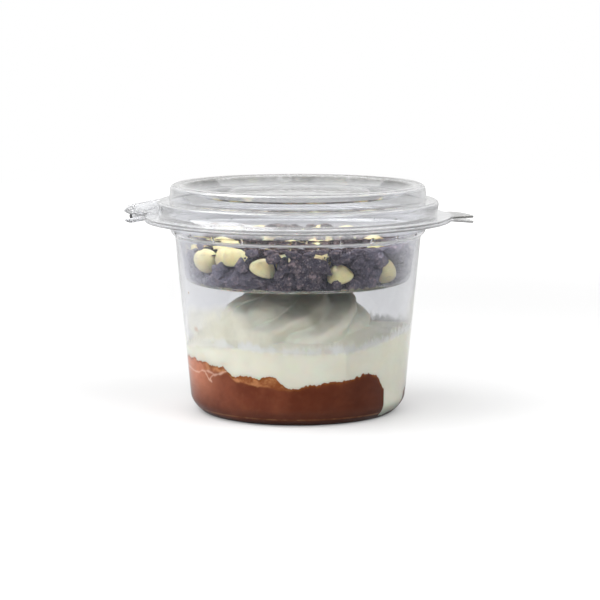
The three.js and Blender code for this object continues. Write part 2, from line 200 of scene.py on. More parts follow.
def shading(points, corners, tabShade=0.0, behind=(), right=0.0):
    # Painted shade for clear sheet: the strongest of some dark corners, each with a distance from the
    # axis, a height, a half width and a strength. Corners are darkest in front, where they lie across the
    # view, and those behind are darkest there. Tabs, past the flange, have a painted shade of their own,
    # and so has the right side.
    reach = np.maximum(np.hypot(points[..., 0], points[..., 1]), 1)
    ahead, aside = -points[..., 1] / reach, points[..., 0] / reach

    def strongest(rings):
        # The largest of the rings' strengths here, each fading out from 0.45 of its half width to all of it.
        off = [(s, np.hypot(reach - r, points[..., 2] - z) / half) for r, z, half, s in rings]
        return np.max([s * (1 - smooth(0.45, 1, distance)) for s, distance in off], 0)

    shade = strongest(corners) * mix(0.3, 1, smooth(0.25, 0.85, ahead))
    if behind:
        shade = np.maximum(shade, strongest(behind) * (1 - smooth(-0.3, 0.5, ahead)))
    shade = shade + right * smooth(0.2, 1, aside)
    return np.maximum(shade, tabShade * smooth(50.6, 51.6, reach) * (points[..., 0] > 0))


def sheetPiece(name, points, part, material):
    # A thin sheet on the inner side of a grid of points, closed round the axis. The part's own
    # settings give its thickness and what its marks hold.
    shades = {key: part[key] for key in ("tabShade", "behind", "right") if key in part}
    marks = {"frost": frosting(points, part["frost"]), "shade": shading(points, part["shade"], **shades)}
    piece = makePiece(name, points, wallCells(*points.shape[:2]), material, marks)
    wall = thicken(piece, part["sheet"], -1)
    wall.use_even_offset = True
    wall.use_quality_normals = True
    return piece


# Camera, light and floor

view = {"x": 0.71, "distance": 732.3, "height": 138.0, "pitch": 7.9, "focal": 133.46, "sensor": 36}

camera = bpy.data.objects.new("camera", bpy.data.cameras.new("camera"))
bpy.context.scene.collection.objects.link(camera)
camera.location = (view["x"] * mm, -view["distance"] * mm, view["height"] * mm)
camera.rotation_euler = (np.radians(90 - view["pitch"]), 0, 0)
camera.data.lens = view["focal"]
camera.data.sensor_width = view["sensor"]
camera.data.clip_start = 0.01
camera.data.clip_end = 50
bpy.context.scene.camera = camera
bpy.context.scene.view_settings.view_transform = "Standard"

studio = {
    "background": 1.25,      # what the camera sees past the floor
    "sky": (1.15, 0.09),     # light from behind the pot and from behind the camera
    "overhead": 0.62,        # light from straight above
    "mirrored": 0.95,        # the share of the sky that shows in reflections
    "floor": 0.555,          # its shade for the camera
    "floorPaintedShade": (-0.06, 0.1, 0.05, 0.52),   # painted shade on the floor for the pot: from and to metres of depth, and its shades there
    "floorGlow": 0.08,
    "floorRadius": 900.0,
    "floorFade": (230.0, 620.0),
    "bounces": 24,
    # each soft box: azimuth and height in degrees, distance, size, watts, seen in reflections
    "lights": {
        "keyLeft": (-78, 50, 0.85, (0.75, 0.75), 7.8, True),
        "fillFront": (-12, 28, 0.85, (0.8, 0.4), 3.9, False),
        "tableFront": (-5, 3, 0.85, (0.9, 0.25), 2.9, False),
        "fillRight": (60, 42, 0.95, (0.9, 0.6), 8.1, False),
        "backTop": (172, 55, 0.9, (0.9, 0.4), 1.3, True),
    },
}


def softBox(name, azimuth, climb, distance, size, watts, reflected):
    # A rectangular area light that looks at the middle of the pot from a direction.
    light = bpy.data.lights.new(name, "AREA")
    light.shape = "RECTANGLE"
    light.size, light.size_y = size
    light.energy = watts
    box = bpy.data.objects.new(name, light)
    bpy.context.scene.collection.objects.link(box)
    climb = np.radians(climb)
    place = around(distance * np.cos(climb), distance * np.sin(climb), azimuth)
    middle = (cadBox[0] + cadBox[1]) / 2
    box.location = middle + type(middle)(place)
    box.rotation_euler = (middle - box.location).to_track_quat("-Z", "Y").to_euler()
    box.visible_glossy = box.visible_transmission = reflected


def feed(tree, node, values):
    # Each input of a node, by name or by number, is linked to an output or set to a value.
    for socket, value in values.items() if isinstance(values, dict) else enumerate(values):
        if isinstance(value, bpy.types.NodeSocket):
            tree.links.new(value, node.inputs[socket])
        else:
            node.inputs[socket].default_value = value


def addNode(tree, kind, values=(), **settings):
    # A shader node with its settings and inputs; what comes back are its outputs.
    node = tree.nodes.new("ShaderNode" + kind)
    for setting, value in settings.items():
        setattr(node, setting, value)
    feed(tree, node, values)
    return node.outputs


def studioWorld():
    # Light by direction: the sky's back and front values blend by y, and both into overhead by z. It is
    # a little dimmer in reflections, and the camera sees a plain background.
    world = bpy.data.worlds.new("studio")
    world.use_nodes = True
    tree = world.node_tree
    tree.nodes.clear()
    back, front = studio["sky"]
    path = addNode(tree, "LightPath")
    split = addNode(tree, "SeparateXYZ", [addNode(tree, "TexCoord")["Generated"]])
    across = addNode(tree, "MapRange", [split["Y"], -0.45, 0.7, front, back], interpolation_type="SMOOTHSTEP")
    above = addNode(tree, "MapRange", [split["Z"], 0.15, 0.95], interpolation_type="SMOOTHSTEP")
    level = addNode(tree, "Mix", {0: above[0], 2: across[0], 3: studio["overhead"]})
    mirror = addNode(tree, "Math", [path["Is Glossy Ray"], path["Is Reflection Ray"]], operation="MULTIPLY")
    dim = addNode(tree, "Math", [mirror[0], studio["mirrored"] - 1, 1], operation="MULTIPLY_ADD")
    strength = addNode(tree, "Math", [level[0], dim[0]], operation="MULTIPLY")
    light = addNode(tree, "Background", {"Strength": strength[0]})
    seen = addNode(tree, "Background", {"Strength": studio["background"]})
    blend = addNode(tree, "MixShader", [path["Is Camera Ray"], light[0], seen[0]])
    addNode(tree, "OutputWorld", {"Surface": blend[0]})
    bpy.context.scene.world = world


def makeFloor():
    # A white disc under the pot. As in a retouched studio picture the camera sees it whiter than
    # the pot does, and it fades to plain white with distance. For the pot it carries painted shade,
    # darker in front than behind.
    turn = np.linspace(0, 360, 64, endpoint=False)
    points = around(np.array([[0.01], [studio["floorRadius"]]]), 0.0, turn)
    material = bpy.data.materials.new("whiteFloor")
    material.use_nodes = True
    tree = material.node_tree
    shader = tree.nodes["Principled BSDF"]
    coords, path = addNode(tree, "TexCoord")["Object"], addNode(tree, "LightPath")["Is Camera Ray"]
    # painted shade: for all but camera rays the floor is darker in front
    depth = addNode(tree, "MapRange", [addNode(tree, "SeparateXYZ", [coords])["Y"], *studio["floorPaintedShade"]])
    white = addNode(tree, "Mix", {0: path, 6: depth[0], 7: (studio["floor"],) * 3 + (1,)}, data_type="RGBA")
    glow = addNode(tree, "Math", [path, studio["floorGlow"]], operation="MULTIPLY")
    feed(tree, shader, {"Base Color": white[2], "Roughness": 0.7})
    feed(tree, shader, {"Emission Color": (1, 1, 1, 1), "Emission Strength": glow[0]})
    away = addNode(tree, "VectorMath", [coords], operation="LENGTH")["Value"]
    start, end = [value * mm for value in studio["floorFade"]]
    fade = addNode(tree, "MapRange", [away, start, end], interpolation_type="SMOOTHSTEP")
    seen = addNode(tree, "Math", [fade[0], path], operation="MULTIPLY")
    far = addNode(tree, "Emission", {"Strength": studio["background"]})
    blend = addNode(tree, "MixShader", [seen[0], shader.outputs[0], far[0]])
    feed(tree, tree.nodes["Material Output"], {"Surface": blend[0]})
    makePiece("floor", points[::-1], wallCells(2, len(turn)), material)


studioWorld()
for boxName, boxValues in studio["lights"].items():
    softBox(boxName, *boxValues)
makeFloor()
cycles = bpy.context.scene.cycles
cycles.max_bounces = cycles.transmission_bounces = cycles.transparent_max_bounces = studio["bounces"]
print("camera, light and floor ready")


# Shader groups and materials

def newGroup(name, values, output, kind):
    # A shader group that takes a place and some numbers, and puts out one mask or normal.
    group = bpy.data.node_groups.new(name, "ShaderNodeTree")
    group.interface.new_socket("Vector", in_out="INPUT", socket_type="NodeSocketVector")
    for label, value in values.items():
        socket = group.interface.new_socket(label, in_out="INPUT", socket_type="NodeSocketFloat")
        socket.default_value = value
    group.interface.new_socket(output, in_out="OUTPUT", socket_type=kind)
    return group, group.nodes.new("NodeGroupInput").outputs, group.nodes.new("NodeGroupOutput")


def mottleGroup():
    # Uneven colour: soft noise with finer noise on it, spread between two edges to a 0 to 1 mask.
    values = {"Scale": 100.0, "Low": 0.35, "High": 0.65}
    group, given, result = newGroup("mottle", values, "Mask", "NodeSocketFloat")
    place = {label: given[label] for label in ("Vector", "Scale")}
    noise = addNode(group, "TexNoise", {**place, "Detail": 5, "Roughness": 0.6})
    edges = [noise["Fac"], given["Low"], given["High"]]
    feed(group, result, [addNode(group, "MapRange", edges, interpolation_type="SMOOTHSTEP")[0]])
    return group


def speckGroup():
    # Small specks: cells of a Voronoi pattern keep a dot near their middle where a random draw allows.
    values = {"Scale": 800.0, "Size": 0.25, "Share": 0.3}
    group, given, result = newGroup("specks", values, "Mask", "NodeSocketFloat")
    cells = addNode(group, "TexVoronoi", {label: given[label] for label in ("Vector", "Scale")})
    draw = addNode(group, "SeparateColor", [cells["Color"]])[0]
    near = addNode(group, "Math", [cells["Distance"], given["Size"]], operation="LESS_THAN")
    drawn = addNode(group, "Math", [draw, given["Share"]], operation="LESS_THAN")
    feed(group, result, [addNode(group, "Math", [near[0], drawn[0]], operation="MULTIPLY")[0]])
    return group


def reliefGroup():
    # Fine relief: noise at one scale drives a bump that puts out a normal.
    values = {"Scale": 300.0, "Detail": 4.0, "Strength": 0.2, "Depth": 0.0005}
    group, given, result = newGroup("relief", values, "Normal", "NodeSocketVector")
    noise = addNode(group, "TexNoise", {label: given[label] for label in ("Vector", "Scale", "Detail")})
    bump = {"Height": noise["Fac"], "Strength": given["Strength"], "Distance": given["Depth"]}
    feed(group, result, [addNode(group, "Bump", bump)["Normal"]])
    return group


mottle, specks, relief = mottleGroup(), speckGroup(), reliefGroup()


class Finish:
    # A material under construction: its Principled shader, its coordinates and its colour so far.

    def __init__(self, name, values):
        # A new material whose Principled shader has these values on its own sockets.
        self.material = bpy.data.materials.new(name)
        self.material.use_nodes = True
        self.tree = self.material.node_tree
        self.shader = self.tree.nodes["Principled BSDF"]
        self.colour = None
        feed(self.tree, self.shader, values)
        self.coords = self.add("TexCoord")["Object"]

    def add(self, kind, values=(), **settings):
        # A node in this material, by its outputs.
        return addNode(self.tree, kind, values, **settings)

    def use(self, socket, value):
        # One input of the shader is linked or set.
        feed(self.tree, self.shader, {socket: value})

    def group(self, tree, **values):
        # One shared group on the object's coordinates, with its own values.
        return self.add("Group", {"Vector": self.coords, **values}, node_tree=tree)[0]

    def clouds(self, scale, low, high):
        # A mask of uneven clouds.
        return self.group(mottle, Scale=scale, Low=low, High=high)

    def bumps(self, scale, detail, strength, depth):
        # A normal with fine relief.
        return self.group(relief, Scale=scale, Detail=detail, Strength=strength, Depth=depth)

    def mark(self, name):
        # A number kept per point of the mesh.
        return self.add("Attribute", attribute_name=name)["Fac"]

    def reckon(self, operation, *values):
        # Masks and numbers put together by an operation.
        return self.add("Math", values, operation=operation)[0]

    def blend(self, mask, first, second):
        # A colour between two, by a mask; each is a colour or a socket.
        pair = [c if isinstance(c, bpy.types.NodeSocket) else (*c, 1) for c in (first, second)]
        return self.add("Mix", {0: mask, 6: pair[0], 7: pair[1]}, data_type="RGBA")[2]

    def paint(self, mask, colour, share=1.0):
        # A layer of colour over the colour so far, as strong as a mask times a share.
        if share < 1:
            mask = self.reckon("MULTIPLY", mask, share)
        self.colour = self.blend(mask, self.colour, colour)
        self.use("Base Color", self.colour)


def clearPlastic(name, tint, haze, milk, ripple, lamplight):
    # Clear moulded sheet: smooth refraction with faint ripples, blurred and mixed with a milky shader as
    # far as the mark frost says, and darker, in broken lines of painted shade, as the mark shade says.
    # Lamps shine through it, dimmed.
    finish = Finish(name, {"Transmission Weight": 1.0 - milk})
    frost = finish.mark("frost")
    broken = finish.reckon("MULTIPLY_ADD", finish.clouds(480.0, 0.36, 0.52), 0.45, 0.55)
    # painted shade: the tint greys in broken lines where the mark shade says
    dark = finish.reckon("MULTIPLY", finish.mark("shade"), broken)
    surface = {
        "IOR": 1.5,
        "Base Color": finish.blend(dark, tint, (0.24, 0.235, 0.21)),
        "Roughness": finish.reckon("MULTIPLY_ADD", frost, 0.3, haze),
        "Normal": finish.bumps(90.0, 2.0, ripple, 0.0006),
    }
    feed(finish.tree, finish.shader, surface)
    milky = finish.add("BsdfPrincipled", surface)
    share = finish.reckon("MULTIPLY", frost, 0.6)
    frosted = finish.add("MixShader", [share, finish.shader.outputs[0], milky[0]])
    lamps = finish.add("BsdfTransparent", [(lamplight, lamplight, lamplight, 1)])
    sheet = finish.add("MixShader", [finish.add("LightPath")["Is Shadow Ray"], frosted[0], lamps[0]])
    feed(finish.tree, finish.tree.nodes["Material Output"], {"Surface": sheet[0]})
    return finish.material


def chocolateFinish():
    # Sauce: brown that varies softly, darker with painted shade where the mark deep says, lighter with
    # painted light where the mark light says, orange brown and blotchy in smears, with a rusty rim and
    # cream streaks.
    finish = Finish("chocolateSauce", {"Roughness": 0.5, "IOR": 1.45, "Specular IOR Level": 0.15})
    cloudy = finish.clouds(120.0, 0.3, 0.75)
    finish.colour = finish.blend(cloudy, (0.170, 0.038, 0.015), (0.285, 0.079, 0.036))
    finish.paint(finish.clouds(420.0, 0.5, 0.8), (0.32, 0.11, 0.05), 0.32)
    smear = finish.blend(finish.clouds(330.0, 0.38, 0.6), (0.30, 0.090, 0.025), (0.60, 0.27, 0.11))
    # deep is painted shade and light is painted light; paler holds smears and a line of painted light
    layers = {"deep": (0.082, 0.015, 0.003), "light": (0.69, 0.27, 0.145), "paler": smear,
              "rim": (0.265, 0.082, 0.018), "cream": (0.80, 0.54, 0.40)}
    for mark, colour in layers.items():
        finish.paint(finish.mark(mark), colour)
    finish.use("Normal", finish.bumps(300.0, 4.0, 0.15, 0.0003))
    return finish.material


def yogurtFinish():
    # Whipped yogurt: cream white, a little warmer in clouds, with dark olive painted shade in a hollow
    # of the mound where the mark says.
    finish = Finish("whippedYogurt", {
        "Roughness": 0.38, "IOR": 1.4, "Subsurface Weight": 0.4, "Subsurface Scale": 0.003,
        "Coat Weight": 0.15, "Coat Roughness": 0.25,
    })
    finish.colour = finish.blend(finish.clouds(70.0, 0.3, 0.7), (0.69, 0.68, 0.58), (0.75, 0.745, 0.65))
    finish.paint(finish.mark("hollowShade"), (0.30, 0.285, 0.20))
    finish.use("Normal", finish.bumps(260.0, 4.0, 0.18, 0.0005))
    return finish.material


def cookieFinish():
    # Broken dark cookie: near black with brown bits and a rough grain. The mark tone shifts each
    # chunk, the crest mark gives pinkish painted highlights, depth the painted shade between the pieces
    # and haze a lavender painted veil for the clear wall's reflection.
    finish = Finish("darkCookie", {"Roughness": 0.9, "Specular IOR Level": 0.25})
    finish.colour = finish.blend(finish.mark("tone"), (0.011, 0.008, 0.013), (0.050, 0.038, 0.047))
    finish.paint(finish.clouds(700.0, 0.48, 0.60), (0.185, 0.146, 0.162), 0.7)
    # painted highlights: pinkish crests
    paintedHighlight = finish.reckon("MULTIPLY", finish.mark("crestHighlight"), finish.clouds(950.0, 0.40, 0.60))
    finish.paint(paintedHighlight, (0.54, 0.39, 0.365), 0.95)
    finish.paint(finish.group(specks, Scale=1300.0, Size=0.34, Share=0.18), (0.50, 0.40, 0.37), 0.9)
    # painted shade between the pieces
    finish.paint(finish.mark("depth"), (0.0030, 0.0025, 0.0045), 0.92)
    # painted veil of the clear wall's reflection, lavender
    finish.paint(finish.mark("haze"), (0.45, 0.435, 0.54))
    finish.use("Normal", finish.bumps(800.0, 8.0, 1.0, 0.0012))
    return finish.material


def dropFinish():
    # White chocolate: pale yellow wax, dusted with a few dark crumbs.
    finish = Finish("whiteChocolate", {
        "Roughness": 0.42, "IOR": 1.45, "Subsurface Weight": 0.4, "Subsurface Scale": 0.002,
    })
    finish.colour = finish.blend(finish.clouds(260.0, 0.3, 0.7), (0.98, 0.83, 0.41), (0.99, 0.90, 0.54))
    finish.paint(finish.group(specks, Scale=1300.0, Size=0.22, Share=0.12), (0.12, 0.08, 0.07), 0.75)
    finish.use("Normal", finish.bumps(500.0, 4.0, 0.15, 0.0003))
    return finish.material


def filmFinish(name, dark, pale, cool, spot):
    # A thin smear on a clear wall, in grains far finer than a pixel: a point is covered where a random
    # number stays under the mark cover. Its colour varies between two and has two more where marked.
    finish = Finish(name, {"Roughness": 0.6, "Specular IOR Level": 0.2})
    finish.colour = finish.blend(finish.clouds(200.0, 0.3, 0.7), dark, pale)
    finish.paint(finish.mark("cool"), cool)
    finish.paint(finish.mark("spot"), spot)
    grains = finish.add("TexWhiteNoise", {"Vector": finish.coords})
    finish.use("Alpha", finish.reckon("LESS_THAN", grains["Value"], finish.mark("cover")))
    return finish.material


clearCup = clearPlastic("clearCup", (0.93, 0.935, 0.955), 0.02, 0.0, 0.05, 0.94)
clearTray = clearPlastic("clearTray", (0.95, 0.955, 0.98), 0.03, 0.0, 0.05, 0.985)
clearLid = clearPlastic("clearLid", (0.885, 0.89, 0.90), 0.03, 0.015, 0.06, 0.95)
chocolate, yogurtCream, cookie = chocolateFinish(), yogurtFinish(), cookieFinish()
whiteChocolate = dropFinish()
creamFilm = filmFinish("creamFilm", dark=(0.86, 0.845, 0.73), pale=(0.93, 0.915, 0.81),
                       cool=(0.87, 0.88, 0.87), spot=(0.56, 0.30, 0.16))
# crumb dust with a painted veil of the wall's reflection
crumbDustAndSheen = filmFinish("crumbDustAndSheen", dark=(0.38, 0.375, 0.485), pale=(0.50, 0.495, 0.60),
                       cool=(0.58, 0.577, 0.65), spot=(0.72, 0.70, 0.54))
print("materials ready")


# Clear pot: cup, tray and lid

rim = {
    "radius": 50.5,
    "cupUnderside": 63.2,
    "lidTop": 64.8,
    "start": 46.0,           # the flange's own rows begin here
    "tab": {"azimuth": 93, "nose": 57.3, "halfWidth": 8.8, "sweep": 7, "corner": 0.8, "droop": 0.5,
            "lift": 0.25},
    "hinge": {"azimuth": -112, "length": 35.0, "reach": 50.4},
}
hingeEnd = np.degrees(np.arctan2(rim["hinge"]["length"] / 2, rim["hinge"]["reach"]))


def tabReach():
    # The tab's edge as distance against turn from its own azimuth: a straight side, a square nose
    # rounded by a short curve, and a long cubic sweep to the other side.
    tab = rim["tab"]
    nose, half, corner, sweep = tab["nose"], tab["halfWidth"], tab["corner"], tab["sweep"]
    s = np.linspace(0, 1, 24)[:, None]
    side = np.array([[rim["radius"] - 3, -half], [nose - corner, -half]])
    a, b, c = np.array([[nose - corner, -half], [nose, -half], [nose, corner - half]])
    turnIn = (1 - s) ** 2 * a + 2 * s * (1 - s) * b + s ** 2 * c
    p = np.array([[nose, corner - half], [nose - corner, 0], [nose - sweep / 2, half], [nose - sweep, half]])
    long = (1 - s) ** 3 * p[0] + 3 * s * (1 - s) ** 2 * p[1] + 3 * s ** 2 * (1 - s) * p[2] + s ** 3 * p[3]
    edge = np.concatenate([side, turnIn, long, [[rim["radius"] - 3, half]]])
    return np.degrees(np.arctan2(edge[:, 1], edge[:, 0])), np.hypot(edge[:, 0], edge[:, 1])


def rimColumns(extra=()):
    # Azimuths round the pot, closer together at the tab's sides and the hinge's ends.
    tab = rim["tab"]["azimuth"]
    close = [np.arange(-11, -7, 0.15) + tab, np.arange(-7, 11, 0.5) + tab,
             rim["hinge"]["azimuth"] + np.array([-hingeEnd - 0.35, -hingeEnd, hingeEnd, hingeEnd + 0.35])]
    return np.unique(np.round(np.concatenate([np.arange(-180, 180, 1.5), *close, *extra]), 2))


def rimTail(azimuth, part, level, bend):
    # The flange from its start to its edge: level, drawn out to the tab's edge and bent there, or
    # along the hinge following the bead's section, whose distances are square to the hinge line.
    bead = evenly(rounded(part["bead"], [part["beadCut"]] * (len(part["bead"]) - 2), 4, 0.1), 30)
    share = np.linspace(0, 1, len(bead))[:, None]
    turn, reach = tabReach()
    fromTab = apart(azimuth, rim["tab"]["azimuth"])
    edge = np.maximum(rim["radius"], np.interp(fromTab, turn, reach, left=0, right=0))
    radius = mix(rim["start"], edge, share)
    out = radius * np.cos(np.radians(fromTab)) - rim["radius"]
    bent = np.where(edge > rim["radius"] + 0.01, np.maximum(out, 0) / (rim["tab"]["nose"] - rim["radius"]), 0)
    fromHinge = apart(azimuth, rim["hinge"]["azimuth"])
    onHinge = np.abs(fromHinge) <= hingeEnd + 0.01
    beadRadius = bead[:, :1] / np.cos(np.radians(fromHinge))
    beadRadius[0] = rim["start"]
    return np.where(onHinge, [beadRadius, bead[:, 1:] + 0 * azimuth], [radius, level + bend * bent])


def evenly(path, count):
    # The same path cut at equal steps of its length.
    length = lengths(path)
    at = np.linspace(0, length[-1], count)
    return np.stack([np.interp(at, length, path[:, 0]), np.interp(at, length, path[:, 1])], 1)


cup = {
    "sheet": 0.6,
    # the outside, from the middle of the base to the start of the flange: distance, height, then cut
    "outside": [(0, 0.8, 0), (26, 0.8, 0.5), (27.2, 0, 0.5), (31.8, 0, 1.2), (34.2, 2.3, 1.0),
                (35.6, 4.5, 1.2), (40.6, 58, 0.5), (42.2, 59.8, 0.7), (42.2, 63.2, 0.8),
                (46.0, 63.2, 0)],
    "bead": [(46.9, 63.2), (50.4, 63.2), (51.0, 62.4), (51.7, 61.9), (52.9, 61.9), (54.2, 62.4),
             (54.4, 63.0), (52.9, 63.2)],
    "beadCut": 0.4,
    "frost": [(58.9, 0.35, 0.95), (62.3, 1.7, 0.24), (1.0, 0.9, 0.03)],
    # painted shade at dark corners: distance, height, half width, strength
    "shade": [(40.8, 58.2, 0.5, 0.25), (50.4, 63.2, 0.5, 0.5), (42.2, 63.0, 0.6, 0.4),
              (31.8, 0.0, 1.0, 0.3)],
    # painted shade on the tabs
    "tabShade": 0.5,
    "right": 0.115,          # painted shade: a little greyer on the right
    "lugs": {"count": 24, "phase": 4.5, "halfWidth": 0.55, "depth": 0.45, "low": 58.9, "high": 60.6},
}
cupOutside = section(cup["outside"])


def makeCup():
    # The cup's path turned round the axis, with small lugs pressed in at the shoulder.
    lugs = cup["lugs"]
    places = np.arange(lugs["count"]) * 360 / lugs["count"] + lugs["phase"]
    near = apart((places[:, None] + np.linspace(-1.2, 1.2, 7)).ravel(), 0)
    azimuth = rimColumns([near])
    radius, height = cupOutside[:-1].T[:, :, None] + 0 * azimuth
    toLug = np.min(np.abs(apart(azimuth[None], places[:, None])), 0)
    pressed = (1 - smooth(0.5, 1, toLug / lugs["halfWidth"])) * smooth(0, 0.4, height - lugs["low"])
    radius = radius - lugs["depth"] * pressed * (1 - smooth(-0.4, 0, height - lugs["high"]))
    tail = rimTail(azimuth, cup, rim["cupUnderside"], -rim["tab"]["droop"])
    points = around(*np.concatenate([[radius, height], tail], 1), azimuth)
    return fit(sheetPiece("cupShell", points, cup, clearCup), "pot", "clear_pot", "cup")


tray = {
    "sheet": 0.5,
    "outside": [(0, 43, 0), (35, 43, 0.5), (36.8, 43.8, 0.6), (37.5, 45.5, 0.6), (39.5, 58.4, 0.5),
                (41.2, 60.2, 0.6), (41.2, 64.2, 0.7), (45.4, 64.2, 0)],
    "sideFrom": 33,          # food rests on the tray from this distance out and below this height
    "sideTop": 59.5,
    "frost": [(43.2, 0.5, 0.25), (62.2, 1.5, 0.12)],
    # painted shade at dark corners: distance, height, half width, strength
    "shade": [(39.6, 58.6, 0.5, 0.3), (41.2, 60.4, 0.5, 0.4), (36.8, 43.8, 0.5, 0.25)],
}
trayOutside = section(tray["outside"])


def makeTray():
    # The tray's path turned round the axis.
    points = around(trayOutside[:, :1], trayOutside[:, 1:], np.arange(-180, 180, 1.5))
    return fit(sheetPiece("trayShell", points, tray, clearTray), "pot", "clear_tray", "tray")


lid = {
    "sheet": 0.6,
    # the top side, from the start of the flange to the middle of the panel: distance, height, cut
    "outside": [(46.1, 64.8, 0), (46.5, 69.3, 0.4), (45.9, 69.9, 0.4), (42.5, 69.9, 0.5),
                (42.1, 74.3, 0.5), (41.3, 75.1, 0.5), (38.8, 75.1, 0.5), (37.8, 74.7, 0.5),
                (33.5, 72, 0.8), (0, 72, 0)],
    # frosted lines at the ring edges, whose milky white also serves as painted highlights: middle height,
    # half height, strength
    "frost": [(69.7, 0.6, 0.15), (74.9, 0.6, 0.15), (65.0, 0.6, 0.15)],
    # painted shade at dark corners: distance, height, half width, strength
    "shade": [(33.5, 72.0, 0.7, 0.85), (34.8, 72.8, 0.3, 0.5), (42.5, 70.1, 0.5, 0.7),
              (46.3, 65.3, 0.45, 0.5), (41.3, 75.1, 0.5, 0.15), (38.8, 75.1, 0.5, 0.2),
              (45.9, 69.9, 0.45, 0.2), (50.4, 64.8, 0.4, 0.3), (46.3, 67.4, 2.2, 0.13)],
    # painted shade on the tabs and on the right side
    "tabShade": 0.8,
    "right": 0.02,
    # rings of painted shade, grey at the back and sides, in the same terms
    "behind": [(40.0, 75.1, 2.2, 0.7), (36.8, 74.0, 2.0, 0.7), (42.3, 73.4, 1.6, 0.2),
               (44.3, 69.9, 2.4, 0.4)],
    "bead": [(46.9, 64.8), (50.4, 64.8), (51.0, 67.0), (51.9, 68.2), (53.0, 67.9), (54.1, 66.9),
             (54.7, 65.7), (52.9, 64.8)],
    "beadCut": 0.45,
}


def makeLid():
    # The lid's path turned round the axis: flange, skirt, step, drum, ring and sunk panel.
    azimuth = rimColumns()
    body = section(lid["outside"])[1:].T[:, :, None] + 0 * azimuth
    tail = rimTail(azimuth, lid, rim["lidTop"], rim["tab"]["lift"])
    points = around(*np.concatenate([tail[:, ::-1], body], 1), azimuth)
    return fit(sheetPiece("lidShell", points, lid, clearLid), "lid", "clear_lid", "lid")


makeCup()
makeTray()
makeLid()
print("clear pot ready")


web = {
    "inner": 52.85,
    "low": 63.4,
    "high": 64.65,
    "held": 0.2,             # how much of each edge moves with its own lip
    "bulge": 0.35,
    "sheet": 0.25,
    "rows": 9,
    "columns": 24,
}


def makeWeb():
    # The living hinge: a thin strip from lip to lip that bows outwards as a parabola.
    share = np.linspace(0, 1, web["rows"])[:, None]
    along = np.linspace(-0.5, 0.5, web["columns"]) * rim["hinge"]["length"] + 0 * share
    out = web["inner"] + web["bulge"] * 4 * share * (1 - share) + 0 * along
    height = mix(web["low"], web["high"], share) + 0 * along
    a = np.radians(rim["hinge"]["azimuth"])
    square, line = np.array([np.sin(a), -np.cos(a), 0]), np.array([np.cos(a), np.sin(a), 0])
    points = out[..., None] * square + along[..., None] * line + height[..., None] * [0, 0, 1]
    piece = makePiece("hingeWeb", points, wallCells(web["rows"], web["columns"], False), clearCup)
    thicken(piece, web["sheet"], 0)
    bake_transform(piece)


makeWeb()


# Food under the tray: sauce and yogurt

wallBite = 0.14              # how far food and film reach into the clear wall
insideWall = leftOf(cupOutside, cup["sheet"] - wallBite)
wallLength = lengths(insideWall)
upFrom = int(np.argmin(insideWall[:, 1]))                # past here the wall only climbs
upHeight = climbing(insideWall[upFrom:, 1])
wallReach = 38               # about how far walls and food lie from the axis, for patterns on them


def lengthAt(height):
    # How far along the inside of the wall a height lies, past the ring of the base.
    return np.interp(height, upHeight, wallLength[upFrom:])


def alongWall(length):
    # Distance and height of the place at a length along the inside of the wall.
    return np.interp(length, wallLength, insideWall[:, 0]), np.interp(length, wallLength, insideWall[:, 1])


def roundTable(table, azimuth):
    # A value round the pot by straight lines between rows of azimuth and value, which join up behind.
    at, value = np.array(table, float).T
    return np.interp(azimuth, [*(at - 360), *at, *(at + 360)], [*value] * 3)


sauce = {
    # the sauce's upper edge on the wall: azimuth and height
    "edge": [(-178, 15), (-150, 16.6), (-120, 18), (-85, 19.1), (-68, 19.4), (-59, 19.1), (-51, 18.6),
             (-46, 18.2), (-40, 18.5), (-38.4, 17.6), (-36, 15.9), (-28, 16.4), (-21, 15.8),
             (-14.5, 16.4), (-11, 15.9), (-8, 14.1), (-6, 13.1), (-3, 12.7), (4, 13.6), (13, 14.1),
             (19, 15), (23, 14.7), (30, 15.6), (35.5, 16.3), (40, 16.1), (43.5, 15.7), (46, 14.6),
             (48.3, 12.4), (50.8, 10.4), (51.6, 5), (52.4, 1.4), (57, 1.3), (62, 2.1), (72, 2.3),
             (74.5, 4.4), (77, 7.6), (83, 9.5), (90, 12), (102, 14.4), (130, 13.6), (155, 14.6)],
    # the darker body's own edge under the pale smear
    "body": [(-60, 16.2), (-46, 16.4), (-38, 16.2), (-35, 14.7), (-33, 14), (-26, 13.5), (-21, 13.1),
             (-14, 12.7), (-9, 12), (-4, 11.9), (2, 12.4)],
    "ragged": (0.32, 0.38),  # coarse and fine fraying of the edge
    "middle": 13.5,
    "columns": 900,
    "wallRows": 72,
    # lines of cream on the wall: azimuth and height
    "streaks": [[(-88, 15.2), (-76, 15.6), (-69, 15.0), (-62, 15.1), (-59, 15.9), (-56, 16.0), (-53, 13.9),
                 (-50.5, 13.1)],
                [(-52, 13.4), (-50, 14.8), (-48, 15.4), (-44, 15.9), (-39, 17.3)],
                [(-57, 15.9), (-53, 16.3), (-49.5, 16.0), (-47.5, 15.3)]],
    "streakWidth": 0.45,
}


def sauceEdge(azimuth):
    # The table of heights, frayed by coarse and fine noise round the wall where it isn't near the base.
    places = around(wallReach, 0, azimuth) * [1, -1, 1]   # noise on the mirrored wall
    base = roundTable(sauce["edge"], azimuth)
    coarse, fine = sauce["ragged"]
    return base + (coarse * rough(places, 2.2, 11) + fine * rough(places, 0.55, 15, 2)) * smooth(2, 8, base)


def nearLine(azimuth, height, line):
    # Millimetres on the wall from each point to the nearest stretch of a line of azimuths and heights.
    scale = np.radians(wallReach)
    nearest = np.full(np.shape(azimuth * height), 1e9)
    for (a0, z0), (a1, z1) in zip(line[:-1], line[1:]):
        run = np.array([(a1 - a0) * scale, z1 - z0])
        x, y = (azimuth - a0) * scale, height - z0
        t = np.clip((x * run[0] + y * run[1]) / (run @ run), 0, 1)
        nearest = np.minimum(nearest, np.hypot(x - t * run[0], y - t * run[1]))
    return nearest


